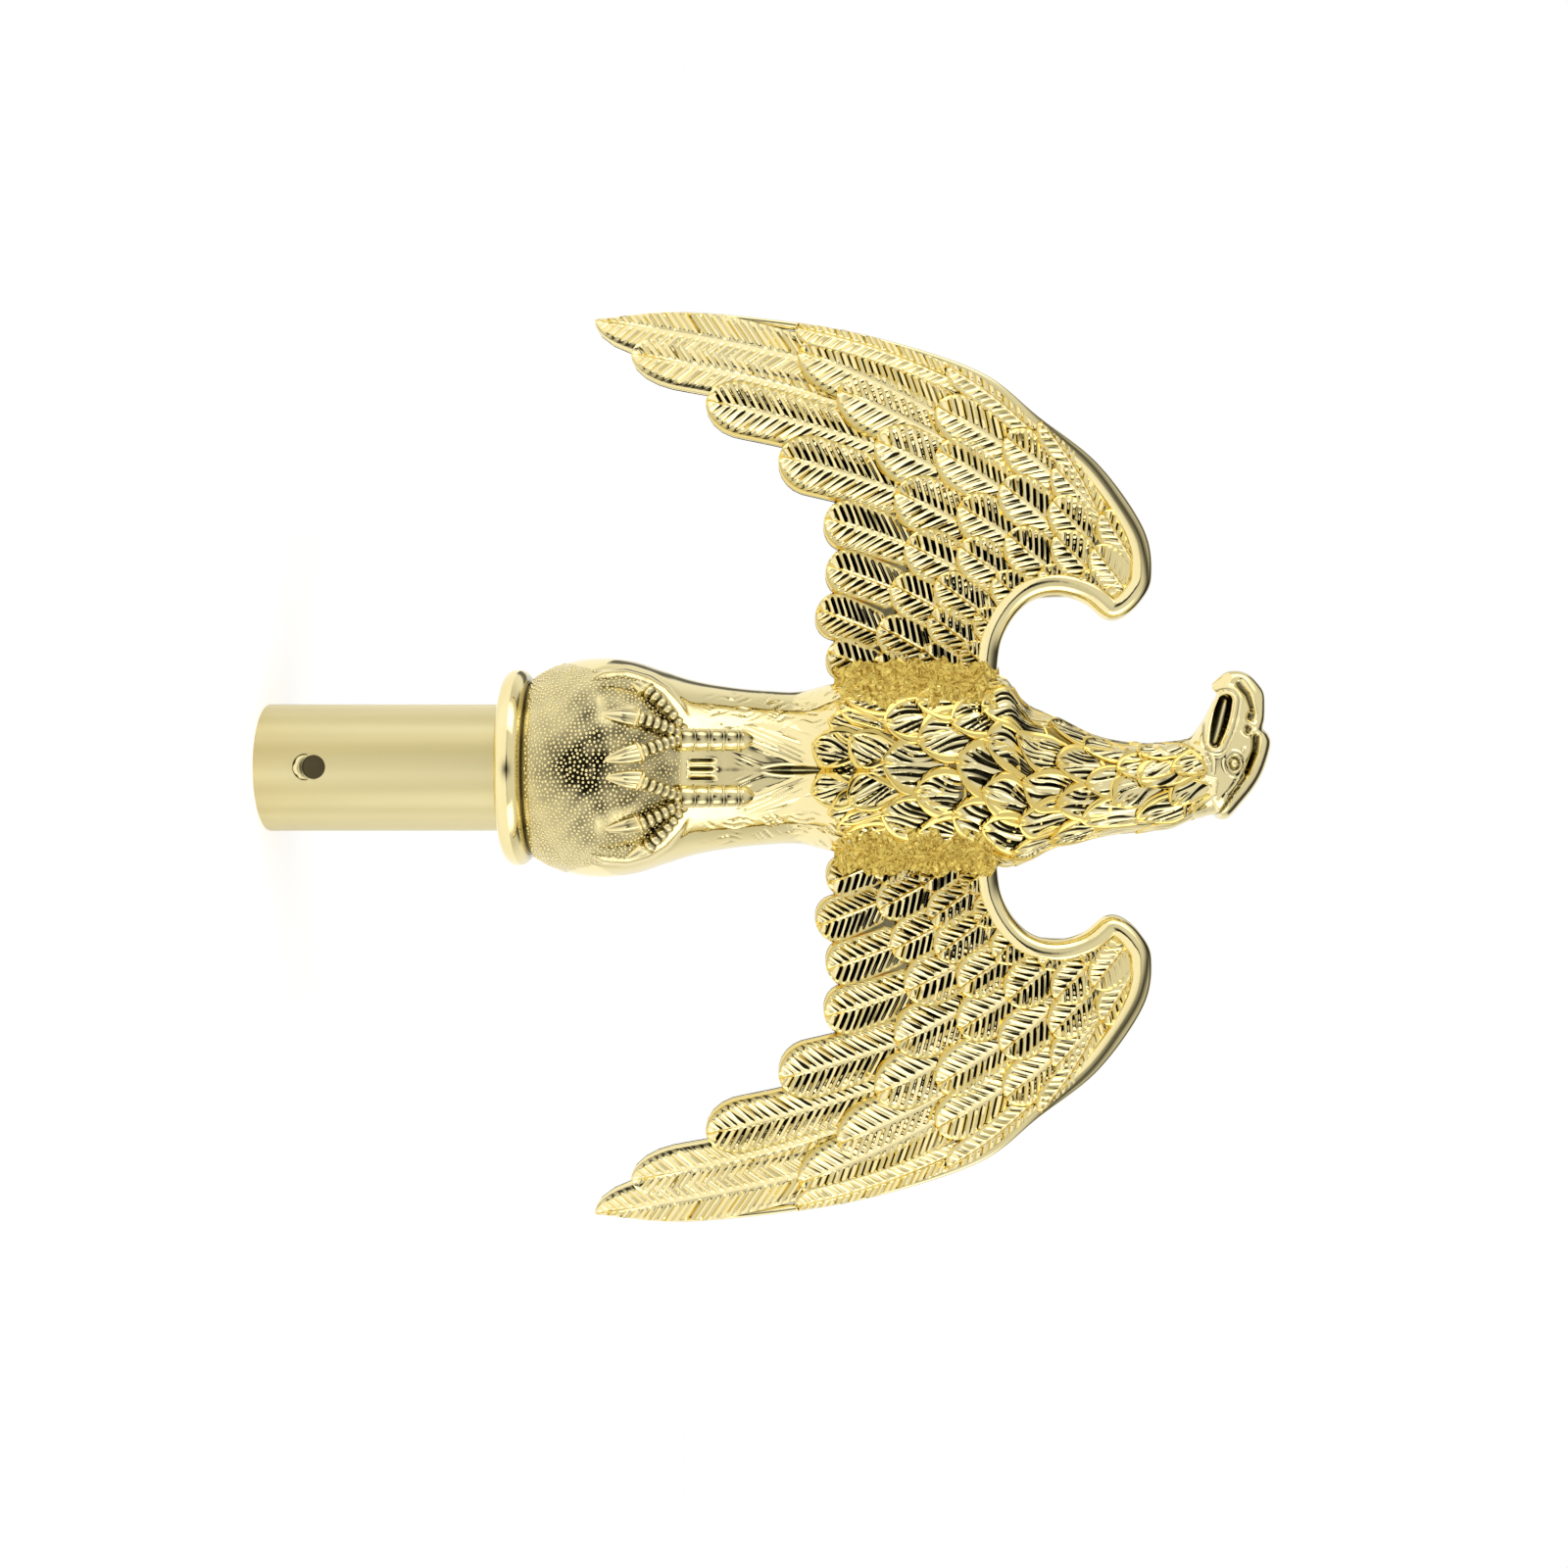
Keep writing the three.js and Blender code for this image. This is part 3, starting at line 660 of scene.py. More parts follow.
def fillerMaterial():
    material, tree, shader = newMaterial("roughJointGold", (0.72, 0.5, 0.1), 0.8, 0.4)
    grain = noiseOn(tree, 400, 4, roughness=0.58, distortion=3.6)
    tone = spread(tree, grain, -0.3, 1.9)
    colour = mixed(tree, tone, fillerFinish["low"], fillerFinish["high"])
    tree.links.new(colour, shader.inputs["Base Color"])
    tree.links.new(spread(tree, grain, 0.5, 0.2), shader.inputs["Roughness"])
    bumpFrom(tree, shader, grain, 1.0, 0.0009)
    return material


gold = platingMaterial()
satin = satinMaterial()
jointGold = fillerMaterial()
print("materials made")


# Wings. x runs out from the middle of the eagle, z is the height, and the front faces -Y.
wing = {
    "rootX": 18.5,
    "rootDepth": 2.0,
    "sweep": 17.7,
    "plate": 2.6,
    "wristPlace": (41.6, -0.4, 167.4),  # the rounded pad inside the hook
    "wristRadii": (8.6, 1.7, 7.8),
    "barbSpacing": 1.55,
    "barbCounts": (8, 10, 12, 15, 20, 24, 30, 36),
    "featherThickness": 1.25,
    # by shares along the rolled edge from the wing tip to the root:
    # how much of it the feathers leave bare
    "bare": [
        (0, 0.3), (0.16, 0.4), (0.24, 1.6), (0.28, 0.9),
        (0.37, 2.4), (0.41, 1.4), (0.5, 3.0), (1, 3.6),
    ],
    # where its painted reflection, a dark line, runs, in degrees round it
    "paintedReflectionLine": [(0.26, 150), (0.31, 112), (0.36, 97), (0.41, 104), (0.46, 128), (0.52, 158)],
}
wingReach = wingTipX - wing["rootX"]

# Rows of feathers, each with its tips (x, z) from the wing tip inward. Lean is the tilt of the
# quill from upright at the tip, curl what it gains up to the root, both in degrees from the outer
# to the inner end of the row.
# Each row's shading numbers set how dark the painted shade in its feathers' grooves is, and also
# deepen their barbs.
featherRows = {
    "trailing": {
        "wider": 1.0,
        "longer": 1.0,
        "tips": [(85.6, 66.9), (79.7, 73.7), (71.3, 88.0), (61.1, 102.2),
                 (49.4, 111.2), (40.3, 111.7), (31.8, 109.7), (23.4, 111.9)],
        "length": (58, 49, 40, 32, 24, 20, 18, 17),
        "width": (10.4, 9.6, 10.8, 11.8, 10.4, 10.0, 10.0, 9.4),
        "lean": (6, 21),
        "curl": (10, 5),
        "point": (2.6, 2.1, 1.4, 1.15, 0.95, 0.9, 0.9, 0.9),
        "grooveShading": (0.05, 0.1, 0.55, 0.66, 0.68, 0.7, 0.72, 0.74),
        "lift": (0.35, 0.5, 0.6, 0.65, 0.65, 0.65, 0.65, 0.65),
    },
    "second": {
        "tips": [(80.2, 106.0), (73.2, 113.6), (63.9, 121.1), (54.4, 125.2),
                 (44.6, 127.3), (36.6, 124.6), (28.5, 122.0), (21.6, 121.2)],
        "length": (36, 31, 25, 21, 19, 17, 16, 15),
        "width": (10.4, 10.8, 10.8, 11.0, 10.2, 9.4, 9.0, 8.2),
        "lean": (18, 28),
        "curl": (12, 4),
        "point": (1.5, 1.3, 1.2, 1.1, 1.1, 1.1, 1.1, 1.1),
        "grooveShading": (0.34, 0.45, 0.62, 0.7, 0.7, 0.7, 0.72, 0.72),
        "lift": (0.8, 0.8, 0.85, 0.9, 0.9, 0.9, 0.9, 0.9),
    },
    "third": {
        "tips": [(70.2, 132.8), (62.2, 133.2), (51.9, 137.7), (43.9, 137.9),
                 (37.4, 133.5), (30.6, 132.3), (23.9, 130.8)],
        "length": (24, 21, 17, 15, 14, 13, 13),
        "width": (9.2, 9.8, 9.8, 9.0, 8.4, 7.8, 7.2),
        "lean": (25, 36),
        "curl": (10, 4),
        "point": (1.3, 1.2, 1.15, 1.1, 1.1, 1.1, 1.1),
        "grooveShading": (0.34, 0.48, 0.6, 0.68, 0.7, 0.72, 0.72),
        "lift": (0.95,) * 7,
    },
    "fourth": {
        "tips": [(64.6, 146.4), (55.9, 145.9), (46.2, 147.4),
                 (38.0, 145.0), (31.0, 141.6), (24.4, 139.0)],
        "length": (17, 16, 14, 11, 9, 8),
        "width": (8.6, 9.4, 9.4, 8.4, 7.6, 7.0),
        "lean": (33, 38),
        "curl": (10, 4),
        "point": (1.2, 1.2, 1.2, 1.15, 1.15, 1.1),
        "grooveShading": (0.4, 0.6, 0.68, 0.7, 0.68, 0.68),
        "lift": (0.95, 1.0, 1.0, 0.95, 0.9, 0.85),
    },
    "fifth": {
        "tips": [(59.0, 156.2), (52.6, 156.0), (46.0, 156.9), (39.6, 154.4)],
        "length": (15, 14, 13, 9),
        "width": (7.6, 8.0, 8.2, 7.6),
        "lean": (40, 42),
        "curl": (10, 6),
        "point": (1.2, 1.2, 1.2, 1.2),
        "grooveShading": (0.4, 0.6, 0.7, 0.72),
        "lift": (1.0, 1.0, 1.0, 0.9),
    },
    "shoulder": {
        "tips": [(50.4, 166.0), (43.6, 164.6), (38.6, 162.4)],
        "length": (12, 11, 8),
        "width": (7.0, 7.4, 6.6),
        "lean": (50, 42),
        "curl": (10, 6),
        "point": (1.3, 1.2, 1.2),
        "grooveShading": (0.35, 0.55, 0.68),
        "lift": (0.95, 0.95, 0.85),
    },
    "leading": {
        "wider": 1.0,
        "longer": 1.0,
        "tips": [(84.2, 105.3), (77.4, 134.7), (67.6, 152.9)],
        "length": (43, 33, 32),
        "width": (5.6, 6.2, 6.0),
        "lean": (9, 44),
        "curl": (20, 30),
        "point": (1.6, 1.6, 1.6),
        "grooveShading": (0.05, 0.1, 0.2),
        "lift": (1.15, 1.2, 1.2),
    },
}
leadingEdge = [
    (86.2, 66.9), (87.47, 83.4), (85.5, 106.2), (82.4, 123.3), (76.6, 141.7),
    (68.6, 153.0), (59.7, 165.2), (47.5, 174.7), (38.2, 176.7), (33.2, 174.6),
    (30.0, 171.0), (29.8, 167.6), (33.0, 163.2), (34.4, 157.9), (33.4, 153.0),
    (30.2, 149.4), (25.6, 147.0), (20.6, 146.2), (15.6, 146.2),
]


# Curls the flat wing forward towards its tip.
def curledForward(places):
    out = np.maximum(places[:, 0] - wing["rootX"], 0) / wingReach
    places[:, 1] += wing["rootDepth"] - wing["sweep"] * out**1.5
    return places


# Draws in what would stick out past the rolled edge, and sinks it into that edge.
def insideEdge(places):
    line = smoothLine(leadingEdge, 240)
    steps = np.diff(line, axis=0)
    insets = np.interp(np.arange(len(steps)) / len(steps), *zip(*wing["bare"]))
    nearest = np.full(len(places), np.inf)
    target = np.zeros((len(places), 2))
    outside = np.zeros(len(places))
    limit = np.zeros(len(places))
    for start, step, inset in zip(line[:-1], steps, insets):
        dx, dz = places[:, 0] - start[0], places[:, 2] - start[1]
        t = np.clip((dx * step[0] + dz * step[1]) / (step @ step), 0, 1)
        d = np.hypot(dx - t * step[0], dz - t * step[1])
        closer = d < nearest
        inward = np.array([-step[1], step[0]]) / np.hypot(*step)
        side = -(dx * inward[0] + dz * inward[1])
        nearest = np.where(closer, d, nearest)
        outside = np.where(closer, side, outside)
        spot = start + t[:, None] * step + inward * inset
        target = np.where(closer[:, None], spot, target)
        limit = np.where(closer, -inset, limit)
    moved = outside > limit
    places[moved, 0], places[moved, 2] = target[moved, 0], target[moved, 1]
    places[moved, 1] = np.clip(places[moved, 1], 0.2, 1.2)
    return places


# Blades for one face of the wing: the front with barbs, the back plainer.
def wingFeathers(side):
    front = side == "front"
    groups = {}
    for row in featherRows.values():
        count = len(row["tips"])
        for k, (x, z) in enumerate(row["tips"]):
            share = k / max(count - 1, 1)
            length = row["length"][k] * row.get("longer", 1.08)
            barbs = round(length / wing["barbSpacing"])
            barbs = min(wing["barbCounts"], key=lambda choice: abs(choice - barbs))
            lean = row["lean"][0] + (row["lean"][1] - row["lean"][0]) * share
            curl = row["curl"][0] + (row["curl"][1] - row["curl"][0]) * share
            groups.setdefault(barbs, []).append({
                "tip": (x, 0, z),
                "length": length,
                "width": row["width"][k] * row.get("wider", 1.14),
                "lean": math.radians(lean),
                "curl": math.radians(curl),
                "point": row["point"][k],
                "lift": row["lift"][k] * (1 if front else 0.6),
                "grooveShading": row["grooveShading"][k],
                "sink": -0.3,
                "bank": -0.12,
            })
    meshes = []
    for barbs, blades in groups.items():
        inputs = {
            "Barbs": float(barbs),
            "Rows": barbs * 3 + 1 if front else 16,
            "Ring Points": 28 if front else 18,
            "Barb Depth": 0.7 if front else 0.0,
            "Thickness": wing["featherThickness"],
        }
        meshes.append(feathersFrom(blades, inputs, gold))
    whole = joinedMesh("feathers", meshes)
    places = insideEdge(coordinates(whole))
    places[:, 1] -= wing["plate"] / 2
    if not front:
        places[:, 1] *= -1
    setCoordinates(whole, places)
    return whole


# The plate under the feathers, darkened with painted shade so that the gaps between the feathers
# read as deep.
def wingWeb():
    ribs = [((14, 118), (14, 144.8)), ((26, 117), (25.4, 145.5)), ((33.5, 117), (33.5, 151.5)),
            ((40.5, 118), (35.5, 172)), ((49.5, 118), (46, 173.5)), ((60, 112), (58.5, 164)),
            ((67, 105), (68, 151.5)), ((75, 96), (77, 135)), ((81.5, 84), (83, 112)),
            ((84.2, 74), (85.2, 88))]
    low = smoothLine([rib[0] for rib in ribs], 60)
    high = smoothLine([rib[1] for rib in ribs], 60)
    half = wing["plate"] / 2
    rings = []
    for (x0, z0), (x1, z1) in zip(low, high):
        share = np.linspace(0, 1, 14)
        x = x0 + (x1 - x0) * share
        z = z0 + (z1 - z0) * share
        front = np.stack([x, np.full_like(x, -half), z], 1)
        back = np.stack([x, np.full_like(x, half), z], 1)[::-1]
        rings.append(np.vstack([front, back]))
    return loft("web", rings, np.full((len(rings), 28), 0.6))


# The rolled leading edge, thick at the wrist and its hook, thin towards the wing tip.
def rolledEdge():
    steps = 180
    line = smoothLine(leadingEdge, steps)
    along = np.gradient(line, axis=0)
    along /= np.linalg.norm(along, axis=1)[:, None]
    inward = np.stack([-along[:, 1], along[:, 0]], 1)
    share = np.linspace(0, 1, steps)
    radius = 0.7 + 1.6 * smoothStep(0.12, 0.42, share)
    turn = fullTurn(28)
    rings = []
    for (x, z), (ix, iz), r in zip(line, inward, radius):
        inset = r * (1 + np.cos(turn))
        rings.append(np.stack([x + ix * inset, -r * 0.35 - r * np.sin(turn), z + iz * inset], 1))
    # Painted reflections: a dark line along the roll by the wrist with lighter dark on its outer
    # side, and a dark patch at the root.
    bend = np.radians(np.interp(share, *zip(*wing["paintedReflectionLine"])))[:, None]
    outline = np.maximum(bell(turn - bend, math.radians(19)), 0.3 * (turn > bend) * (turn < np.pi))
    outline *= (smoothStep(0.24, 0.29, share) * (1 - smoothStep(0.47, 0.53, share)))[:, None]
    root = bell(turn - math.radians(128), math.radians(30))
    root = root * smoothStep(0.87, 0.92, share)[:, None]
    return loft("rolledEdge", rings, np.maximum(0.97 * outline, 0.95 * root))


def makeWings():
    wrist = ellipsoid("wrist", wing["wristPlace"], wing["wristRadii"], 40)
    parts = [wingFeathers("front"), wingFeathers("back"), wingWeb(), rolledEdge(), wrist]
    whole = cleaned(joinedMesh("wing", parts))
    setCoordinates(whole, curledForward(coordinates(whole)))
    mirrored = whole.copy()
    mirrored.transform(Matrix.Diagonal((-1, 1, 1, 1)))
    mirrored.flip_normals()
    makePiece("leftWing", whole, gold, ["left_wing"])
    makePiece("rightWing", mirrored, gold, ["right_wing"])


makeWings()
print("wings made")

# Tube: a satin sleeve with a screw hole in front and a bright burr under it.
tube = {
    "wall": 1.5,
    "holeHeight": 11.8,
    "holeRadius": 2.35,
    "burrRadius": 2.95,
    "burrDrop": 1.1,
    "burrDepth": 0.8,
    "endRound": 0.3,
    "around": 160,
}


# The mesh with the cutters taken away.
def cutBy(mesh, cutters):
    whole = bpy.data.objects.new("whole", mesh)
    bpy.context.scene.collection.objects.link(whole)
    tools = []
    for cutter in cutters:
        tool = bpy.data.objects.new("tool", cutter)
        bpy.context.scene.collection.objects.link(tool)
        tools.append(tool)
        modifier = whole.modifiers.new("cut", "BOOLEAN")
        modifier.object = tool
        modifier.operation = "DIFFERENCE"
        modifier.solver = "EXACT"
    view = bpy.context.evaluated_depsgraph_get()
    result = bpy.data.meshes.new_from_object(whole.evaluated_get(view))
    for thing in (whole, *tools):
        bpy.data.objects.remove(thing)
    return result


def makeTube():
    inner, outer = tubeRadius - tube["wall"], tubeRadius
    soft = tube["endRound"]
    profile = [
        (inner, soft), (inner + soft * 0.3, soft * 0.3), (inner + soft, 0), (outer - soft, 0),
        (outer - soft * 0.3, soft * 0.3), (outer, soft), (outer, 20), (outer, 40),
        (outer, tubeTop), (inner, tubeTop), (inner, 30),
    ]
    count = tube["around"]
    turn = fullTurn(count)
    points = np.vstack([ringAt(radius, height, turn) for radius, height in profile])
    faces = [
        [corner % len(points) for corner in face] for face in ringFaces(len(profile) + 1, count)
    ]
    sleeve = cleaned(meshFrom("tube", points, faces))
    hole = cylinderCutter(tube["holeRadius"], (0, -outer, tube["holeHeight"]), 6)
    lower = tube["holeHeight"] - tube["burrDrop"]
    radii = (tube["burrRadius"], tube["burrDepth"], tube["burrRadius"])
    burr = ellipsoid("burr", (0, -outer, lower), radii)
    makePiece("tube", cutBy(sleeve, [hole, burr]), satin, ["socket_tube"], 30)


# A bright ragged crescent of plating left on the lower side of the screw hole.
def makeBurr():
    random = np.random.default_rng(11)
    steps, around = 60, 12
    share = np.linspace(0, 1, steps)
    angle = np.radians(-150 + 120 * share)
    ragged = 0.22 * np.convolve(random.normal(size=steps + 4), np.ones(5) / 2.2, "valid")
    swell = np.sin(np.pi * share) ** 0.8
    reach = tube["holeRadius"] + 0.12 + 0.8 * swell + 0.2 * ragged
    x, z = reach * np.cos(angle), tube["holeHeight"] + reach * np.sin(angle)
    thick = (0.1 + 0.66 * swell) * (1 + 0.5 * ragged)
    turn = fullTurn(around)
    rings = []
    for k in range(steps):
        out = thick[k] * np.cos(turn)
        lift = 0.45 * thick[k] * np.sin(turn)
        px, pz = x[k] + out * np.cos(angle[k]), z[k] + out * np.sin(angle[k])
        rings.append(np.stack([px, -np.sqrt(tubeRadius**2 - px**2) - lift, pz], 1))
    # Painted shade along both edges of the crescent.
    shade = 0.9 * bell(np.cos(turn) - 0.9, 0.25) + 0.8 * bell(np.cos(turn) + 0.95, 0.2)
    burr = cleaned(loft("burr", rings, np.tile(shade, (steps, 1))))
    makePiece("burr", burr, gold, ["socket_tube"], 50)


makeTube()
makeBurr()
print("tube made")


# Trunk and ball. Each station: height, sideways middle, half width, front and back, in millimetres.
trunkStations = [
    (66.2, 0.0, 21.4, -20.5, 21.9), (73.7, 0.0, 21.1, -19.0, 22.4),
    (79.6, 0.0, 19.4, -16.0, 21.6), (84.2, 0.0, 17.9, -14.2, 19.8),
    (91.6, 0.0, 16.4, -13.1, 16.6), (100.0, 0.0, 15.5, -12.5, 14.2),
    (106.4, 0.0, 15.3, -12.6, 12.6), (113.0, 0.0, 16.8, -13.8, 11.8),
    (122.4, 0.0, 17.5, -15.0, 11.8), (133.0, 0.0, 17.6, -15.0, 11.2),
    (143.8, 0.4, 17.8, -13.4, 10.2), (147.6, 1.1, 18.3, -12.6, 9.4),
    (150.5, 2.7, 16.0, -12.0, 8.6), (156.4, 2.9, 13.1, -11.2, 7.2),
    (162.4, 3.6, 10.9, -10.4, 6.3), (168.3, 3.9, 9.3, -10.0, 5.5),
    (174.2, 4.0, 8.7, -9.8, 4.9), (180.0, 3.4, 8.0, -9.4, 4.4),
    (186.0, 1.6, 7.2, -8.8, 3.6), (189.0, 0.8, 6.6, -8.2, 2.8),
]
trunk = {
    "around": 288,
    "crowded": 0.45,  # how much closer the points lie in front than at the sides
    "flatRadius": 16.0,  # the scales are laid out flat and rolled up at this radius
}
grooveX = 0.65  # sideways place of the groove between the thighs


# Points of the trunk at a turn from the front towards +X.
def onTrunk(turn, height, out=0.0):
    _, middle, half, front, back = follow(trunkStations, height).T
    x = middle + (half + out) * np.sin(turn)
    y = (front + back) / 2 - ((back - front) / 2 + out) * np.cos(turn)
    return np.stack([x, y, height], 1)


# Pushes points out so that the trunk melts into the ball.
def outsideBall(places, blend=1.4):
    middle = np.array([0, 0, ballHeight])
    away = places - middle
    distance = np.linalg.norm(away, axis=1)
    radius = ball["radius"]
    gap = np.clip(1 - np.abs(distance - radius) / blend, 0, None)
    wanted = np.maximum(distance, radius) + blend / 4 * gap**2
    return middle + away * (wanted / distance)[:, None]


def onBall(x, z, raised=0.0):
    x, z = np.asarray(x, float), np.asarray(z, float) - ballHeight
    y = -np.sqrt(np.maximum(ball["radius"] ** 2 - x**2 - z**2, 0))
    out = np.stack([x, y, z], -1)
    reach = (ball["radius"] + raised) / np.linalg.norm(out, axis=-1)
    return out * reach[..., None] + [0, 0, ballHeight]


# How far points lie from a line of straight stretches, and how far along it in shares.
def lineDistance(x, z, line):
    line = np.array(line, float)
    best = np.full(np.shape(x), np.inf)
    along = np.zeros(np.shape(x))
    for k, (start, end) in enumerate(zip(line[:-1], line[1:])):
        step = end - start
        t = np.clip(((x - start[0]) * step[0] + (z - start[1]) * step[1]) / (step @ step), 0, 1)
        d = np.hypot(x - start[0] - t * step[0], z - start[1] - t * step[1])
        along = np.where(d < best, (k + t) / (len(line) - 1), along)
        best = np.minimum(best, d)
    return best, along


# Thin flowing lines on the thighs, from 0 to 1.
def thighStrokes(x, z):
    out = np.abs(x - grooveX)
    sweep = out - 0.45 * (z - 100) + 0.9 * np.sin(0.5 * z + 0.3 * out)
    sweep += 0.35 * np.sin(1.3 * z - 0.9 * out)
    line = np.maximum(np.sin(4.3 * sweep), 0) ** 5
    breaks = 1.3 * np.sin(0.6 * z + 1.3 * out + np.sign(x)) * np.sin(0.37 * z - 0.8 * out)
    line *= np.clip(0.3 + breaks, 0, 1)
    line *= smoothStep(6.5, 9, out) * smoothStep(86, 91, z) * (1 - smoothStep(110, 116, z))
    sweep = out + 0.42 * (z - 100) + 0.5 * np.sin(0.4 * z + out)
    inner = np.maximum(np.sin(2.6 * sweep), 0) ** 8
    inner *= np.clip(0.5 + 0.9 * np.sin(0.5 * z - 0.9 * out + 0.8 * np.sign(x)), 0, 1)
    inner *= smoothStep(1.4, 2.6, out) * (1 - smoothStep(6.5, 9, out))
    return line + inner * smoothStep(97.5, 100, z) * (1 - smoothStep(109, 114, z))


# What stands out of the lower front: two thighs with a groove between, and two bars under it.
def thighRelief(x, z):
    span = smoothStep(92, 106, z) * (1 - smoothStep(112, 122, z))
    out = np.abs(x - grooveX)
    relief = 0.7 * bell(out - 6.8, 4.4) * span
    groove = 1.3 * bell(x - grooveX, 0.3 + 0.6 * bell(z - 105, 5))
    relief -= groove * smoothStep(97, 103, z) * (1 - smoothStep(117, 122, z))
    ends = smoothStep(84.2, 85.2, z) * (1 - smoothStep(89.2, 90.2, z))
    relief += 0.55 * (bell(x + 0.48, 0.62) + bell(x - 1.33, 0.68)) * ends
    relief -= 0.5 * (bell(x + 1.35, 0.3) + bell(x - 0.38, 0.3) + bell(x - 2.3, 0.3)) * ends
    relief += 0.35 * bell(x - grooveX, 1.8) * smoothStep(88, 91, z) * (1 - smoothStep(94, 101, z))
    furrow = np.sin(4.2 * (out + 0.4 * (z - 100) + 0.8 * np.sin(0.45 * z + 0.9 * out)))
    furrow *= smoothStep(0.5, 1.6, out) * (1 - smoothStep(7, 10, out))
    furrow *= 0.85 + 0.15 * np.sin(0.9 * z - 1.1 * out + 1.4 * np.sign(x))
    relief += 0.11 * furrow * smoothStep(92, 96, z) * (1 - smoothStep(110, 114, z))
    return relief - 0.3 * thighStrokes(x, z)


skirtArc = [
    (-16.0, 62.0), (-18.2, 68.2), (-18.6, 72.4), (-17.4, 76.8),
    (-15.2, 80.2), (-12.0, 82.9), (-8.6, 84.8),
]
# The skirt's edge over the ball: its height by sideways place, and its half width by height.
skirtEdge = [(0, 84.6), (8, 83.4), (12, 81.8), (15.2, 79.2), (17.4, 75.6), (18.2, 71), (22.1, 66)]
skirtReach = [(52, 23), (57, 22), (60, 20.8), (63, 19.8), (66, 19), (70, 18.4), (90, 18.2)]


# Whether places on the ball lie inside the skirt's edge, where the beads are.
def stippled(x, y, height):
    edge = np.interp(np.abs(x), *zip(*skirtEdge)) - 0.7
    reach = np.interp(height, *zip(*skirtReach))
    return np.where(y < 0, (height < edge) & (np.abs(x) < reach), height < 62 - 0.1 * y)


# The skirt's raised edge, where the trunk runs down over the ball.
def skirtRidge(places):
    for side in (-1, 1):
        d, along = lineDistance(side * places[:, 0], places[:, 2], skirtArc)
        ridge = 0.4 * bell(d, 0.45) - 0.25 * bell(d - 0.95, 0.4)
        away = places - [0, 0, ballHeight]
        away /= np.linalg.norm(away, axis=1)[:, None]
        fade = np.sin(np.pi * np.clip(along * 1.02 + 0.02, 0, 1)) ** 0.5
        places = places + away * (ridge * ((places[:, 1] < 0) * fade))[:, None]
    return places


# Rings up the collar, the ball, the trunk and the neck.
def bodyRings():
    count = trunk["around"]
    turn = fullTurn(count)
    turn -= trunk["crowded"] * np.sin(turn)
    bead, reach = ball["collarBead"], ball["collarRadius"] - ball["collarBead"]
    bore = tubeRadius + 0.3
    boreTop = tubeTop + 0.3
    profile = [(bore * 0.5, boreTop), (bore, boreTop), (bore, boreTop - 5), (bore, collarUnderside)]
    for t in np.linspace(-0.5, 0.56, 26) * np.pi:
        profile.append((reach + bead * math.cos(t), collarUnderside + bead + bead * math.sin(t)))
    seam = math.asin((profile[-1][1] - ballHeight - 0.25) / ball["radius"])
    for t in np.linspace(seam, -0.02, 24):
        profile.append((ball["radius"] * math.cos(t), ballHeight + ball["radius"] * math.sin(t)))
    rings = [ringAt(radius, height, turn) for radius, height in profile]
    for height in [*np.arange(67.5, 122, 0.42), *np.arange(122, 188.9, 1.6)]:
        places = onTrunk(turn, np.full(count, height))
        raised = thighRelief(places[:, 0], places[:, 2]) * smoothStep(0.15, 0.5, np.cos(turn))
        places = onTrunk(turn, np.full(count, height), raised)
        if height < 92:
            places = skirtRidge(outsideBall(places))
        rings.append(places)
    return np.array(rings)


# Painted shade: dark in the groove between the thighs with a lighter painted highlight along its
# middle, between the bars under it, between the beads, along the thigh strokes, under the scales
# and along the collar's seam; painted reflections darken the ball's front middle and one spot on
# the collar.
def bodyShade(rings):
    x, y, z = np.moveaxis(rings, 2, 0)
    collarTop = collarUnderside + 2 * ball["collarBead"]
    front = smoothStep(0, 4, -y)
    width = 0.26 + 0.62 * bell(z - 105, 5)
    away = np.abs(x - grooveX)
    groove = 1 - smoothStep(width * 0.7, width * 1.15, away)
    groove *= 1 - 0.75 * bell(away, width * 0.25)
    groove *= smoothStep(96, 100, z) * (1 - smoothStep(119, 123, z)) * front
    gaps = (bell(x + 1.35, 0.33) + bell(x - 0.38, 0.33) + bell(x - 2.3, 0.36)) * front
    gaps *= smoothStep(84.4, 85.2, z) * (1 - smoothStep(89.2, 90.1, z))
    onTheBall = (np.linalg.norm(rings - [0, 0, ballHeight], axis=2) < ball["radius"] + 0.15)
    onTheBall |= (z > 78) & (y < 0) & (np.abs(x) < 9)
    onTheBall &= (z > collarTop + 0.8) & stippled(x, y, z)
    # Painted reflection: the ground between the beads is darkest in the middle of the ball's front.
    middle = bell(np.hypot(x, z - 62.5), 6.5) * front
    between = smoothStep(60, 66, z) * (1 - smoothStep(12, 17, np.abs(x))) * front
    cloud = 0.5 + 0.5 * np.sin(0.9 * x + 1.3 * np.sin(0.5 * z)) * np.sin(0.8 * z + 0.4 * x)
    ground = 0.22 + 0.16 * cloud + 0.7 * middle + (0.15 + 0.3 * cloud) * between
    ground *= 1 - smoothStep(82.2, 83.8, z)
    strokes = 0.4 * thighStrokes(x, z) * front
    underScales = 0.75 * smoothStep(118, 121, z) * (1 - smoothStep(182, 185, z))
    underScales *= smoothStep(6, 9, -y)
    shade = np.where(onTheBall, ground, np.maximum(np.maximum(0.9 * groove, 0.95 * gaps), strokes))
    shade = np.maximum(shade, underScales)
    seam = 0.75 * bell(z - (collarTop + 0.1), 0.45)
    # Painted reflection: a dark spot on the front of the collar.
    spot = 0.9 * bell(x - 0.5, 1.5) * bell(z - collarTop + ball["collarBead"] - 0.2, 0.8) * front
    return np.maximum(shade, np.maximum(seam, spot))


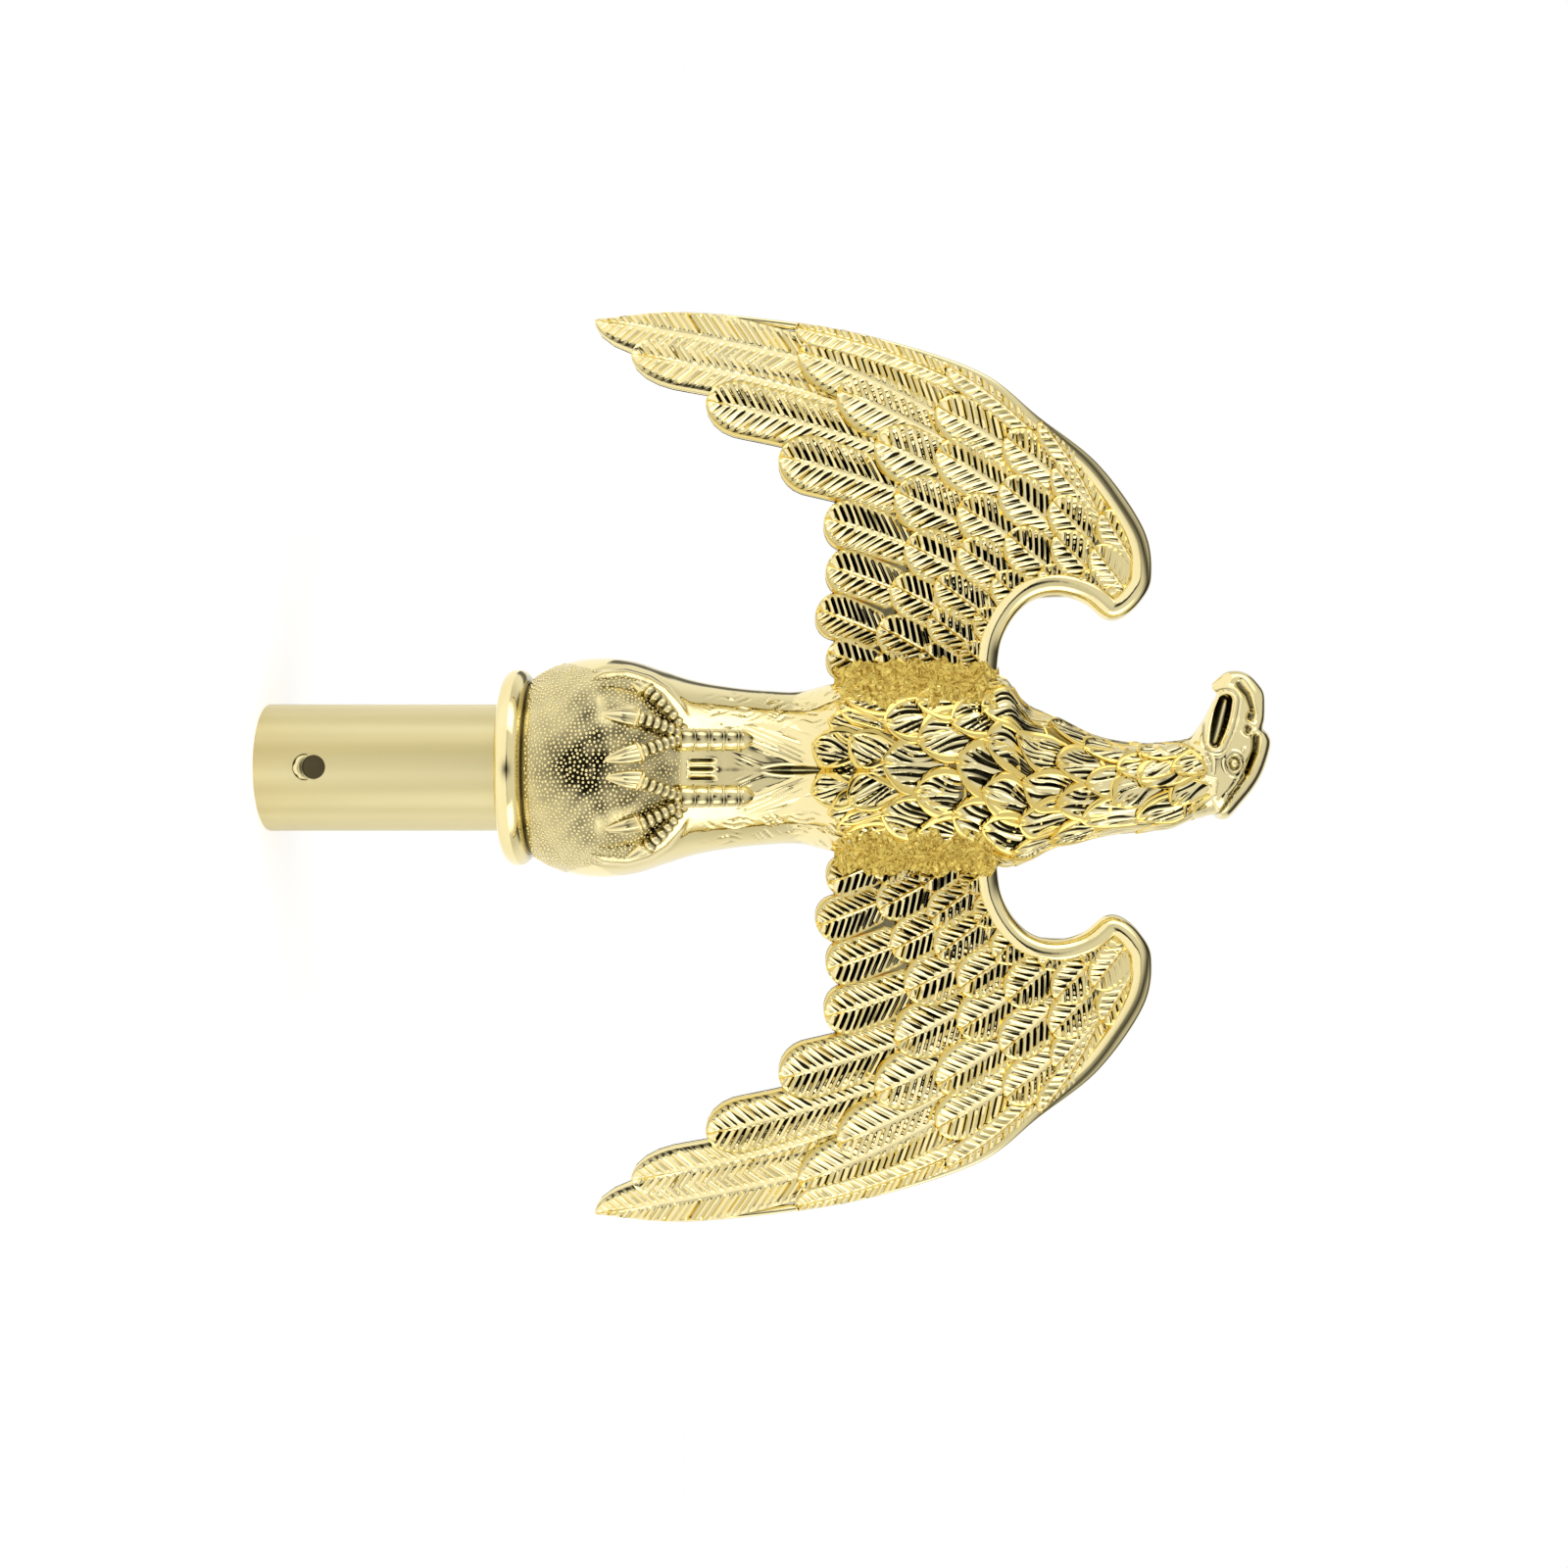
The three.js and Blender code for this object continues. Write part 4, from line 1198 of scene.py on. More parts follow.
def makeBody():
    rings = bodyRings()
    body = cleaned(loft("body", rings, bodyShade(rings)))
    makePiece("eagleBody", body, gold, ["eagle_on_ball"])


def stippleTree():
    numbers = {"Bead": ball["stippleBead"], "Gap": ball["stippleGap"], "Seed": ball["seed"]}
    tree, source, sink, given = newTree("stipple", numbers)
    scatter = {
        "Mesh": source.outputs["Geometry"],
        "Seed": given["Seed"],
        "Distance Min": given["Gap"],
        "Density Max": 18.0,
    }
    dots = addNode(
        tree, "GeometryNodeDistributePointsOnFaces", scatter, distribute_method="POISSON"
    )
    roundness = {"Segments": 5, "Rings": 4, "Radius": given["Bead"]}
    bead = addNode(tree, "GeometryNodeMeshUVSphere", roundness)
    rise = positionValues(tree)[2] / given["Bead"]
    foot = (1.0 - rise.smooth(-0.1, 0.75)) * 0.85  # painted shade where a bead meets the ball
    shaded = storeNumber(tree, bead.outputs["Mesh"], "shade", foot)
    sizes = {"Min": 0.75, "Max": 1.15, "Seed": given["Seed"]}
    size = addNode(tree, "FunctionNodeRandomValue", sizes)
    beads = copiesOn(tree, {
        "Points": dots.outputs["Points"],
        "Instance": shaded,
        "Rotation": dots.outputs["Rotation"],
        "Scale": [socket for socket in size.outputs if socket.enabled][0],
    })
    return finishedTree(tree, source, sink, beads)


# Small round beads over the ball, inside the skirt's edge.
def makeStipple():
    turn = np.linspace(-np.pi, np.pi, 181)
    low = collarUnderside + 2 * ball["collarBead"] + 0.9
    heights = np.linspace(low, 85.5, 60)
    radius = ball["radius"] - 0.14
    keep, points = [], []
    for height in heights:
        ring = math.sqrt(max(radius**2 - (height - ballHeight) ** 2, 0))
        trunkPlaces = onTrunk(turn, np.full(len(turn), max(height, 67.5)), 0.15)
        reach = np.maximum(ring, np.hypot(trunkPlaces[:, 0], trunkPlaces[:, 1]) * (height > 78))
        x, y = reach * np.sin(turn), -reach * np.cos(turn)
        sunk = 1 - 0.006 * smoothStep(18, 21.5, np.abs(x))
        points.append(np.stack([x * sunk, y * sunk, np.full(len(turn), height)], 1))
        keep.append(stippled(x, y, height))
    faces = ringFaces(len(heights), len(turn), closed=False)
    keep = np.concatenate(keep)
    faces = [face for face in faces if all(keep[v] for v in face)]
    patch = meshFrom("patch", np.vstack(points), faces)
    beads = grown("stipple", patch, stippleTree(), {}, gold)
    makePiece("ballStipple", beads, gold, ["eagle_on_ball"], 180)


# A round limb through the points, with ridges that run around or along it.
def tubeAlong(name, line, radii, around=26, ridges=None, flatten=1.0, shade=None):
    steps = len(radii)
    line = smoothLine(line, steps)
    along = np.gradient(line, axis=0)
    along /= np.linalg.norm(along, axis=1)[:, None]
    out = line - [0, 0, ballHeight]
    out[:, 2] *= 0.6
    across = np.cross(out, along)
    across /= np.linalg.norm(across, axis=1)[:, None]
    up = np.cross(along, across)
    turn = fullTurn(around)
    rings = []
    for k in range(steps):
        r = radii[k] * (np.ones(around) if ridges is None else ridges(k / (steps - 1), turn))
        rings.append(
            line[k]
            + across[k] * (r * np.cos(turn))[:, None]
            + up[k] * (flatten * r * np.sin(turn))[:, None]
        )
    paint = np.zeros((steps, around))
    if shade is not None:
        paint += shade if np.ndim(shade) == 2 else np.asarray(shade)[:, None]
    return loft(name, rings, paint)


feet = {
    "toeRadius": 1.55,
    "beads": 7,
    "clawRadius": 1.95,
    "shankRadius": 2.25,
    "shankBands": 5,
    "shanks": (5.7, -5.3),
    "shankSpan": (82.8, 97.2),
    "shankRoll": 15.5,  # how far the shanks stand from the middle
    "ankles": (-5.6, 6.0),
    # foot, knuckle and claw tip, each as sideways place and height; the side toes end in stubs
    "toes": [
        ((-5.6, 83.4), (-2.6, 75.3), (-1.0, 68.5)),
        ((-5.6, 83.4), (-9.1, 74.6), (-10.2, 67.6)),
        ((-6.6, 83.4), (-14.6, 76.0), (-16.6, 73.6)),
        ((6.0, 83.4), (2.5, 75.3), (2.0, 68.8)),
        ((6.0, 83.4), (10.6, 74.9), (12.3, 68.3)),
        ((7.0, 83.4), (15.2, 76.0), (18.2, 72.2)),
    ],
}


def makeToe(foot, knuckle, tip):
    start, middle, end = np.array(foot), np.array(knuckle), np.array(tip)
    steps = 84
    share = np.linspace(0, 1, steps)
    flat = start + (middle - start) * share[:, None]
    places = onBall(flat[:, 0], flat[:, 1], 0.7 + 0.75 * np.sin(np.pi * share * 0.9))
    bulge = np.abs(np.sin(np.pi * feet["beads"] * share)) ** 0.8
    radii = feet["toeRadius"] * (0.52 + 0.48 * bulge) * (0.8 + 0.2 * share)
    # Painted shade between the toe's beads.
    dark = (1 - bulge) ** 0.9
    bone = tubeAlong("bone", places[:: steps // 8], radii, flatten=0.9, shade=dark)
    back = middle + (start - middle) * 0.06
    cuffLine = np.array([back + (middle - back) * t for t in (0, 0.5, 1.0, 1.5)])
    cuffPlaces = onBall(cuffLine[:, 0], cuffLine[:, 1], 0.5)
    swell = np.sin(np.linspace(0.12, 0.88, 18) * np.pi) ** 0.5
    cuff = tubeAlong("cuff", cuffPlaces, feet["toeRadius"] * 1.45 * swell, flatten=0.85)
    share = np.linspace(0, 1, 40)
    line = np.array([middle + (end - middle) * t for t in (-0.05, 0.25, 0.5, 0.75, 1.0)])
    raised = np.array([0.3, 0.2, 0.05, -0.15, -0.6])
    clawPlaces = np.array([onBall(x, z, up) for (x, z), up in zip(line, raised)])
    taper = feet["clawRadius"] * (1 - share**1.7 * 0.93)

    def grooved(_, turn):
        return 1 - 0.18 * np.abs(np.cos(turn * 3)) ** 4

    turn = fullTurn(36)
    # Painted shade along the claw's grooves.
    lines = 0.8 * np.abs(np.cos(turn * 3)) ** 6
    lines = lines * np.sin(np.pi * np.clip(share * 1.15, 0, 1))[:, None]
    claw = tubeAlong("claw", clawPlaces, taper, 36, ridges=grooved, flatten=0.85, shade=lines)
    return [bone, cuff, claw]


def makeShank(x):
    heights = np.linspace(*feet["shankSpan"], 8)
    turn = np.arcsin(x / feet["shankRoll"])
    surface = onTrunk(np.full(8, turn), heights)
    line = np.stack([np.full(8, x), surface[:, 1] - 0.55, heights], 1)
    share = np.linspace(0, 1, 126)
    pillow = np.abs(np.sin(np.pi * feet["shankBands"] * share)) ** 0.35
    fromBand = np.abs((share * feet["shankBands"] + 0.5) % 1 - 0.5)
    band = bell(fromBand, 0.055)
    radii = feet["shankRadius"] * (0.82 + 0.16 * pillow + 0.22 * band)
    radii *= np.sqrt(np.clip((1.02 - share) / 0.16, 0.02, 1)) * (1.04 - 0.14 * share)
    turn = fullTurn(36)
    # Painted reflection: a dark band across the front of each pillow; painted shade between the
    # pillows.
    paintedPillowReflection = bell(turn - math.radians(90), math.radians(26))
    dark = 1.2 * paintedPillowReflection * ((0.15 + 0.85 * bell(fromBand, 0.28)) * (band < 0.6))[:, None]
    dark = np.maximum(dark, (0.8 * (1 - pillow) ** 1.1 * (band < 0.35))[:, None])
    return tubeAlong("shank", line, radii, around=36, shade=dark)


def makeFeet():
    parts = [part for toe in feet["toes"] for part in makeToe(*toe)]
    parts += [makeShank(x) for x in feet["shanks"]]
    for x in feet["ankles"]:
        middle = onBall(x, 83.2, 0.3)
        parts.append(ellipsoid("ankle", tuple(middle), (2.6, 1.8, 1.9), 28))
    makePiece("feet", cleaned(joinedMesh("feet", parts)), gold, ["eagle_on_ball"], 60)


makeBody()
makeStipple()
makeFeet()
print("ball, body and feet made")


# Scales: feathers laid over the trunk in staggered rows, smaller up the neck, plainer behind.
scaleShared = {
    "Sweep": 0.6, "Quill Height": 0.0, "Uneven": 0.0, "Inner Shade": 0.9, "Root Taper": 0.1,
}
scaleKinds = {
    "breast": {
        "Ring Points": 44, "Rows": 34, "Barbs": 4.2, "Fan": 0.86, "Barb Depth": 0.6,
        "Rim Height": 0.55, "Crown": 0.05, "Thickness": 1.1, "Tip Power": 0.72, "Bare Tip": 0.34,
        "Rim From": 0.63, "Root Shade": 0.4,
    },
    "fineBreast": {
        "Ring Points": 44, "Rows": 34, "Barbs": 5.3, "Fan": 0.8, "Barb Depth": 0.5,
        "Rim Height": 0.5, "Crown": 0.05, "Thickness": 1.1, "Tip Power": 0.8, "Bare Tip": 0.34,
        "Rim From": 0.66, "Root Shade": 0.35, "Quill Height": 0.1, "Inner Shade": 0.85,
    },
    "neck": {
        "Ring Points": 36, "Rows": 32, "Barbs": 3.2, "Fan": 0.9, "Barb Depth": 0.42,
        "Rim Height": 0.35, "Crown": 0.1, "Thickness": 0.9, "Tip Power": 0.78, "Bare Tip": 0.35,
        "Rim From": 0.68, "Root Shade": 0.3, "Root Taper": 0.15,
    },
    "side": {
        "Ring Points": 26, "Rows": 24, "Barbs": 2.5, "Fan": 0.95, "Barb Depth": 0.3,
        "Rim Height": 0.2, "Crown": 0.2, "Thickness": 0.9, "Tip Power": 0.74, "Bare Tip": 0.5,
        "Root Taper": 0.2,
    },
    "behind": {
        "Ring Points": 26, "Rows": 20, "Barbs": 2.5, "Fan": 0.95, "Barb Depth": 0.35,
        "Rim Height": 0.35, "Crown": 0.2, "Thickness": 0.9, "Tip Power": 0.6, "Bare Tip": 0.5,
    },
}
scaleSetting = {
    "first": 108.5,
    "last": 180.5,
    "pitch": (6.7, 5.3),  # between rows, on the breast and up the neck
    "across": (8.2, 6.0),
    "beside": [(30, 111.6, 7.6), (41, 113.4, 6.6)],  # by the groove: degrees, height, width
    "grooveTop": 118,  # up to here the rows leave the groove between the thighs open
    # how dark the painted shade in each kind's grooves is
    "grooveShading": {"breast": 0.78, "fineBreast": 0.74, "neck": 0.58, "side": 0.3, "behind": 0.5},
}


def blended(pair, share):
    return pair[0] * (1 - share) + pair[1] * share


# One scale's kind and numbers, or nothing where the trunk is bare.
def placeScale(random, turn, height, row, around, count):
    up = smoothStep(145, 172, height)
    pitch = blended(scaleSetting["pitch"], up)
    slant = abs(math.degrees(turn))
    beside = 52 < slant < 128
    if height > scaleSetting["last"] + 5.5 * math.sin(turn) or (height < 117 and beside):
        return None
    if height < 112 and 38 < slant < 142:
        return None
    ahead = slant < 100
    kind = "behind"
    lean = 0.0
    if ahead:
        kind = "neck" if up > 0.55 else random.choice(["breast", "fineBreast"], p=[0.6, 0.4])
        lean = -0.42 * math.sin(turn) * (1 - up) + (0.5 + 0.14 * random.normal()) * up
    if height < scaleSetting["grooveTop"] and slant < 35:
        lean = math.copysign(0.3, turn)
    width = around / count * 1.52 * (1 + 0.06 * random.normal())
    length = pitch * (2.35 + 0.2 * up) * (1 + 0.06 * random.normal())
    lift = (1.0 - 0.3 * up) * (1 if ahead else 0.8)
    if beside and height < 150:
        kind, width, length, lift = "side", width * 0.72, length * 1.15, lift * 0.6
    elif beside:
        if row % 2:
            return None
        lift *= 0.25 if turn < 0 else 0.4
        kind, width, length = "side", width * 1.15, length * 2.1
    return kind, {
        "width": width,
        "length": min(length, (187.5 - height) / math.cos(lean + 0.1)),
        "lean": lean + (0.1 if ahead else 0.05) * random.normal(),
        "point": 1.2 if kind != "side" else 2.0,
        "grooveShading": scaleSetting["grooveShading"][kind] * (0.82 + 0.2 * random.random()),
        "lift": lift,
        "sink": -0.5,
        "curl": 0.2 * random.normal(),
        "bank": 0.06 * random.normal(),
    }


# Every scale's tip and numbers, by kind.
def placeScales():
    random = np.random.default_rng(7)
    kinds = {kind: [] for kind in scaleKinds}
    height, row = scaleSetting["first"], 0
    while height < 186:
        up = smoothStep(145, 172, height)
        half = follow(trunkStations, np.array([height]))[0][2]
        around = 2 * np.pi * half
        count = round(around / blended(scaleSetting["across"], up))
        besideGroove = height < scaleSetting["grooveTop"]
        for k in range(count):
            turn = (k + (0.5 if besideGroove else 0.5 * (row % 2))) / count * 2 * np.pi
            turn = (turn + np.pi) % (2 * np.pi) - np.pi
            fanned = math.copysign(0.06, turn) * (row if besideGroove else 0)
            turn += fanned + random.normal(0, 0.03)
            made = placeScale(random, turn, height, row, around, count)
            if made is None:
                continue
            kind, blade = made
            if besideGroove and abs(turn) < 0.5:
                turn += math.copysign(0.03, turn)
                blade["width"] *= 0.76
            blade["tip"] = (turn * trunk["flatRadius"], 0, height + random.normal(0, 0.4))
            blade["width"] *= trunk["flatRadius"] / half
            kinds[kind].append(blade)
        height += blended(scaleSetting["pitch"], up)
        row += 1
    for side in (-1, 1):
        for slant, height, width in scaleSetting["beside"]:
            kinds["fineBreast"].append({
                "tip": (side * math.radians(slant) * trunk["flatRadius"], 0, height),
                "width": width,
                "length": 15.0,
                "lean": 0.22 * side,
                "point": 1.3,
                "grooveShading": 0.66,
                "lift": 0.85,
                "sink": -0.5,
                "curl": 0.1 * side,
                "bank": 0.0,
            })
    return kinds


def makeScales():
    kinds = placeScales()
    pieces = {"frontScales": ("breast", "fineBreast", "neck"), "backScales": ("side", "behind")}
    for piece, names in pieces.items():
        whole = joinedMesh(piece, [
            feathersFrom(kinds[kind], {**scaleShared, **scaleKinds[kind]}, gold) for kind in names
        ])
        flat = coordinates(whole)
        turn = flat[:, 0] / trunk["flatRadius"]
        extra = thighRelief(trunk["flatRadius"] * np.sin(turn), flat[:, 2])
        out = -flat[:, 1] + extra * smoothStep(0.15, 0.5, np.cos(turn))
        out += 0.9 * smoothStep(175, 181, flat[:, 2]) * smoothStep(-0.2, 0.3, np.cos(turn))
        setCoordinates(whole, onTrunk(turn, flat[:, 2], out))
        makePiece(piece, cleaned(whole, 1e-5), gold, ["eagle_on_ball"], 50)


makeScales()
print("scales made")


# Tail: broad feathers fanned down behind the ball.
tailSetting = {
    "count": 5,
    "fan": 0.62,
    "rollRadius": 22.5,  # the feathers are laid out flat and rolled up at this radius
    "length": 36.0,
    "width": 12.5,
    "foot": 53.0,
    "feather": {
        "Barbs": 20.0, "Rows": 61, "Barb Depth": 0.3, "Thickness": 1.4, "Root Taper": 0.1,
    },
}


def makeTail():
    roll = tailSetting["rollRadius"]
    blades = []
    for k in range(tailSetting["count"]):
        place = 2 * k / (tailSetting["count"] - 1) - 1
        blades.append({
            "tip": (place * tailSetting["fan"] * roll, 0, tailSetting["foot"] + 1.5 * abs(place)),
            "length": tailSetting["length"],
            "width": tailSetting["width"],
            "lean": 0.16 * place,
            "curl": 0.0,
            "lift": 0.45 + 0.35 * (k % 2),
            "sink": -0.2,
            "bank": 0.1,
            "point": 1.2,
            "grooveShading": 0.6,
        })
    flat = joinedMesh("tail", [feathersFrom(blades, tailSetting["feather"], gold)])
    places = coordinates(flat)
    turn = np.pi + places[:, 0] / roll
    height, out = places[:, 2], -places[:, 1]
    lowest = trunkStations[0]
    shell = follow(trunkStations, np.clip(height, lowest[0], 189))
    back = np.where(height < lowest[0], lowest[4], shell[:, 4])
    radius = np.minimum(back, 22.3) + 1.1 * bell(height - 74, 9) + out * 0.9
    radius -= 0.6 * smoothStep(66, 52, height)  # closer to the ball towards the feathers' tips
    setCoordinates(flat, np.stack([radius * np.sin(turn), -radius * np.cos(turn), height], 1))
    makePiece("tail", cleaned(flat), gold, ["eagle_on_ball"])


makeTail()
print("tail made")


# Head, in profile to the eagle's right. Each rib: its end under the throat, its end on the crown,
# both as sideways place and height, and its half thickness.
headRibs = [
    (-15.5, 188.7, -16.6, 188.4, 0.35), (-14.7, 189.4, -18.7, 190.8, 1.2),
    (-14.3, 189.4, -19.2, 193.2, 1.9), (-13.9, 189.2, -18.5, 195.6, 2.3),
    (-13.3, 188.8, -16.7, 197.5, 2.7), (-12.6, 188.4, -14.8, 198.7, 3.1),
    (-11.6, 187.9, -12.4, 198.9, 3.6), (-10.4, 187.3, -9.7, 198.8, 4.2),
    (-9.2, 186.6, -7.7, 198.5, 4.8), (-8.4, 186.0, -6.3, 199.6, 5.2),
    (-7.7, 185.6, -4.6, 199.97, 5.6), (-6.9, 185.0, -1.4, 199.2, 6.0),
    (-6.2, 184.2, 1.7, 198.0, 6.3), (-5.7, 183.3, 4.5, 196.3, 6.5),
    (-5.4, 182.4, 7.2, 194.1, 6.6), (-5.2, 181.5, 9.2, 192.4, 6.7),
    (-5.1, 180.7, 10.2, 191.2, 6.7), (-5.05, 180.0, 10.3, 190.0, 6.7),
    (-5.0, 179.3, 9.5, 189.1, 6.5), (-4.95, 178.5, 9.6, 187.6, 6.5),
    (-4.9, 176.5, 10.2, 184.9, 6.7), (-3.0, 174.0, 9.5, 180.0, 5.0),
]
face = {
    "depth": -3.0,
    "rings": 290,
    "around": 160,
    "mouth": [(-13.2, 190.6), (-5.0, 187.9)],
    "mouthRadius": 1.35,
    "mouthDeep": 2.3,
    "eye": (-0.7, 191.4),
    "lines": [  # line, width, height: below nothing is a groove
        ([(-16.6, 193.4), (-14.4, 195.0), (-11.2, 195.8)], 0.75, -1.1),
        ([(-10.3, 195.5), (-9.8, 195.4)], 0.8, -1.4),
        ([(-7.7, 194.8), (-7.2, 194.6)], 0.72, -1.3),
        ([(-5.9, 196.2), (-3.0, 195.9), (1.0, 194.2)], 0.75, -1.7),
        ([(-2.6, 195.7), (1.8, 194.0), (5.6, 191.3), (9.4, 188.8)], 0.42, -0.9),
        ([(-3.4, 193.6), (-0.4, 193.4), (3.2, 191.6), (6.2, 189.2)], 0.5, 0.35),
        ([(7.4, 181.2), (4.3, 182.2), (2.3, 185.3), (2.8, 187.8), (5.2, 187.5), (7.4, 184.7),
          (8.2, 181.8)], 0.42, 0.6),
        ([(6.6, 183.2), (4.2, 186.2)], 0.3, -0.45),
        ([(5.0, 183.4), (3.4, 185.8)], 0.3, -0.45),
        ([(-2.9, 184.4), (-0.6, 185.4), (1.3, 185.0)], 0.35, -0.45),
        ([(-3.4, 186.0), (-1.2, 187.0), (1.0, 187.0)], 0.35, -0.35),
    ],
}


# How far the face stands out, and its painted shade in the grooves, the mouth and the eye's rings,
# with a painted highlight streak inside the mouth.
def faceRelief(x, z):
    relief = np.zeros_like(x)
    shade = np.zeros_like(x)
    for line, width, height in face["lines"]:
        distance, along = lineDistance(x, z, line)
        width = width * (1.12 - 0.5 * along * (len(line) > 2))
        relief += height * bell(distance, width)
        if height < 0:
            cut = 1 - smoothStep(width * 0.2, width * 1.05, distance)
            shade = np.maximum(shade, min(0.9, 0.4 - 0.4 * height) * cut)
    distance, along = lineDistance(x, z, face["mouth"])
    radius = face["mouthRadius"] * (0.68 + 0.4 * np.sin(np.pi * (0.2 + 0.75 * along)))
    relief -= face["mouthDeep"] * (1 - smoothStep(radius - 0.55, radius + 0.1, distance))
    # Painted highlight: a lighter streak inside the mouth.
    sheen, _ = lineDistance(x, z - 0.45, face["mouth"])
    inner = 1 - smoothStep(radius - 0.45, radius - 0.05, distance)
    shade = np.maximum(shade, inner * (1 - 0.85 * bell(sheen, 0.22)))
    shade = np.maximum(shade, 0.7 * bell(distance - radius - 1.2, 0.16))
    relief += 0.6 * bell(distance - radius - 0.55, 0.42)
    relief += 0.3 * bell(distance - radius - 1.75, 0.4)
    d = np.hypot((x - face["eye"][0]) / 1.25, z - face["eye"][1])
    relief += 0.75 * np.sqrt(np.clip(1 - (d / 0.72) ** 2, 0, 1)) - 0.35 * bell(d - 0.95, 0.2)
    relief += 0.32 * bell(d - 1.35, 0.24) + 0.22 * bell(d - 1.95, 0.25)
    shade = np.maximum(shade, 0.8 * bell(d - 0.98, 0.17) + 0.55 * bell(d - 1.68, 0.16))
    return relief, shade


def makeHead():
    ribs = smoothLine(headRibs, face["rings"])
    turn = fullTurn(face["around"])
    side = np.cos(turn)
    swell = np.sign(np.sin(turn)) * np.abs(np.sin(turn)) ** 0.82
    rings, shades = [], []
    for ax, az, bx, bz, half in ribs:
        x = (ax + bx) / 2 + (bx - ax) / 2 * side
        z = (az + bz) / 2 + (bz - az) / 2 * side
        inner = smoothStep(0.12, 0.5, np.abs(swell))
        relief, shade = faceRelief(x, z)
        raised = relief * inner * min(1.0, half / 3)
        shades.append(shade * inner)
        y = face["depth"] - (half * swell + np.sign(swell) * raised)
        rings.append(np.stack([x, y, z], 1))
    makePiece("head", cleaned(loft("head", rings, shades)), gold, ["eagle_on_ball"], 60)


makeHead()
print("head made")


# Rough filler in the joints between trunk and wings.
filler = {
    "low": 113.2,
    "high": 146.2,
    "seedShift": 3.1,
    "innerTurn": 35,
    "outerTurn": 80,
    "wingPlace": (21.4, -1.2),  # where it ends on the wing: sideways place and depth
    "rows": 150,
    "trunkColumns": 40,
    "bridgeColumns": 22,
}


# A rough crust from the trunk over to the wing, with ragged edges.
def makeFiller(side):
    rows, columns = filler["rows"], filler["trunkColumns"] + filler["bridgeColumns"]
    v, u = np.meshgrid(np.linspace(0, 1, rows), np.linspace(0, 1, columns), indexing="ij")
    height = filler["low"] + (filler["high"] - filler["low"]) * v[:, 0]
    turns = np.linspace(filler["innerTurn"], filler["outerTurn"], filler["trunkColumns"])
    onBody = [onTrunk(np.full(rows, math.radians(turn)) * side, height) for turn in turns]
    rim = onBody[-1]
    wingX, wingY = filler["wingPlace"]
    wingPlace = np.stack([np.full(rows, side * wingX), np.full(rows, wingY), height], 1)
    shares = np.linspace(0, 1, filler["bridgeColumns"] + 1)[1:]
    surface = np.stack(onBody + [rim + (wingPlace - rim) * share for share in shares], axis=1)
    shift = side * filler["seedShift"]
    grain = np.array([
        [
            noise.turbulence(Vector((shift + x * 0.55, y * 0.55, z * 0.55)), 5, True)
            for x, y, z in row
        ]
        for row in surface
    ])
    ragged = np.array([
        [noise.noise(Vector((x * 0.33, z * 0.33, 9.0 * side))) for x, _, z in row]
        for row in surface
    ])
    edge = np.minimum(np.minimum(u / 0.16, (1 - u) / 0.14), np.minimum(v, 1 - v) / 0.07)
    raised = -1.7 + 2.9 * smoothStep(0, 1, edge + 0.9 * ragged) + 1.5 * (grain - 0.45)
    outward = surface - np.array([0, -1.8, 0])
    outward[..., 2] = 0
    outward /= np.linalg.norm(outward, axis=2)[..., None]
    front = surface + outward * raised[..., None]
    back = surface - outward * 3.0
    count = rows * columns
    points = np.vstack([front.reshape(-1, 3), back.reshape(-1, 3)])
    faces = []
    for a, b, c, d in ringFaces(rows, columns, closed=False):
        faces += [(a, b, c, d), (a + count, d + count, c + count, b + count)]
    border = list(range(columns))
    border += [r * columns + columns - 1 for r in range(1, rows)]
    border += [(rows - 1) * columns + c for c in range(columns - 2, -1, -1)]
    border += [r * columns for r in range(rows - 2, 0, -1)]
    for here, there in zip(border, border[1:] + border[:1]):
        faces.append((there, here, here + count, there + count))
    return meshFrom("filler", points, faces)


def makeJoints():
    for name, side in (("leftJoint", 1), ("rightJoint", -1)):
        mesh = cleaned(makeFiller(side))
        makePiece(name, mesh, jointGold, ["eagle_on_ball"], 80)


makeJoints()
print("joints filled")

# Setting: a pale floor and a soft white studio that is dark only around the camera, which gives the
# plating its black reflections.
studio = {
    "floorSize": 3.0,
    "floorGlow": 0.42,
    "ground": 0.68,  # brightness of the room in front and beside
    "behind": 0.95,
    "overhead": 0.12,
    "lamp": 2.1,
    "lampTurn": 0.85,  # sine of the turn at which the two lamps stand to the sides
    "lampWidth": 0.13,
    "lampHeight": 0.62,
    "dark": 0.01,
    "spot": (0.0, -0.99, -0.13),  # middle of the dark patch: the camera as the plating sees it
    "spotEdge": (0.925, 0.985),  # cosines from its bright to its dark side
}


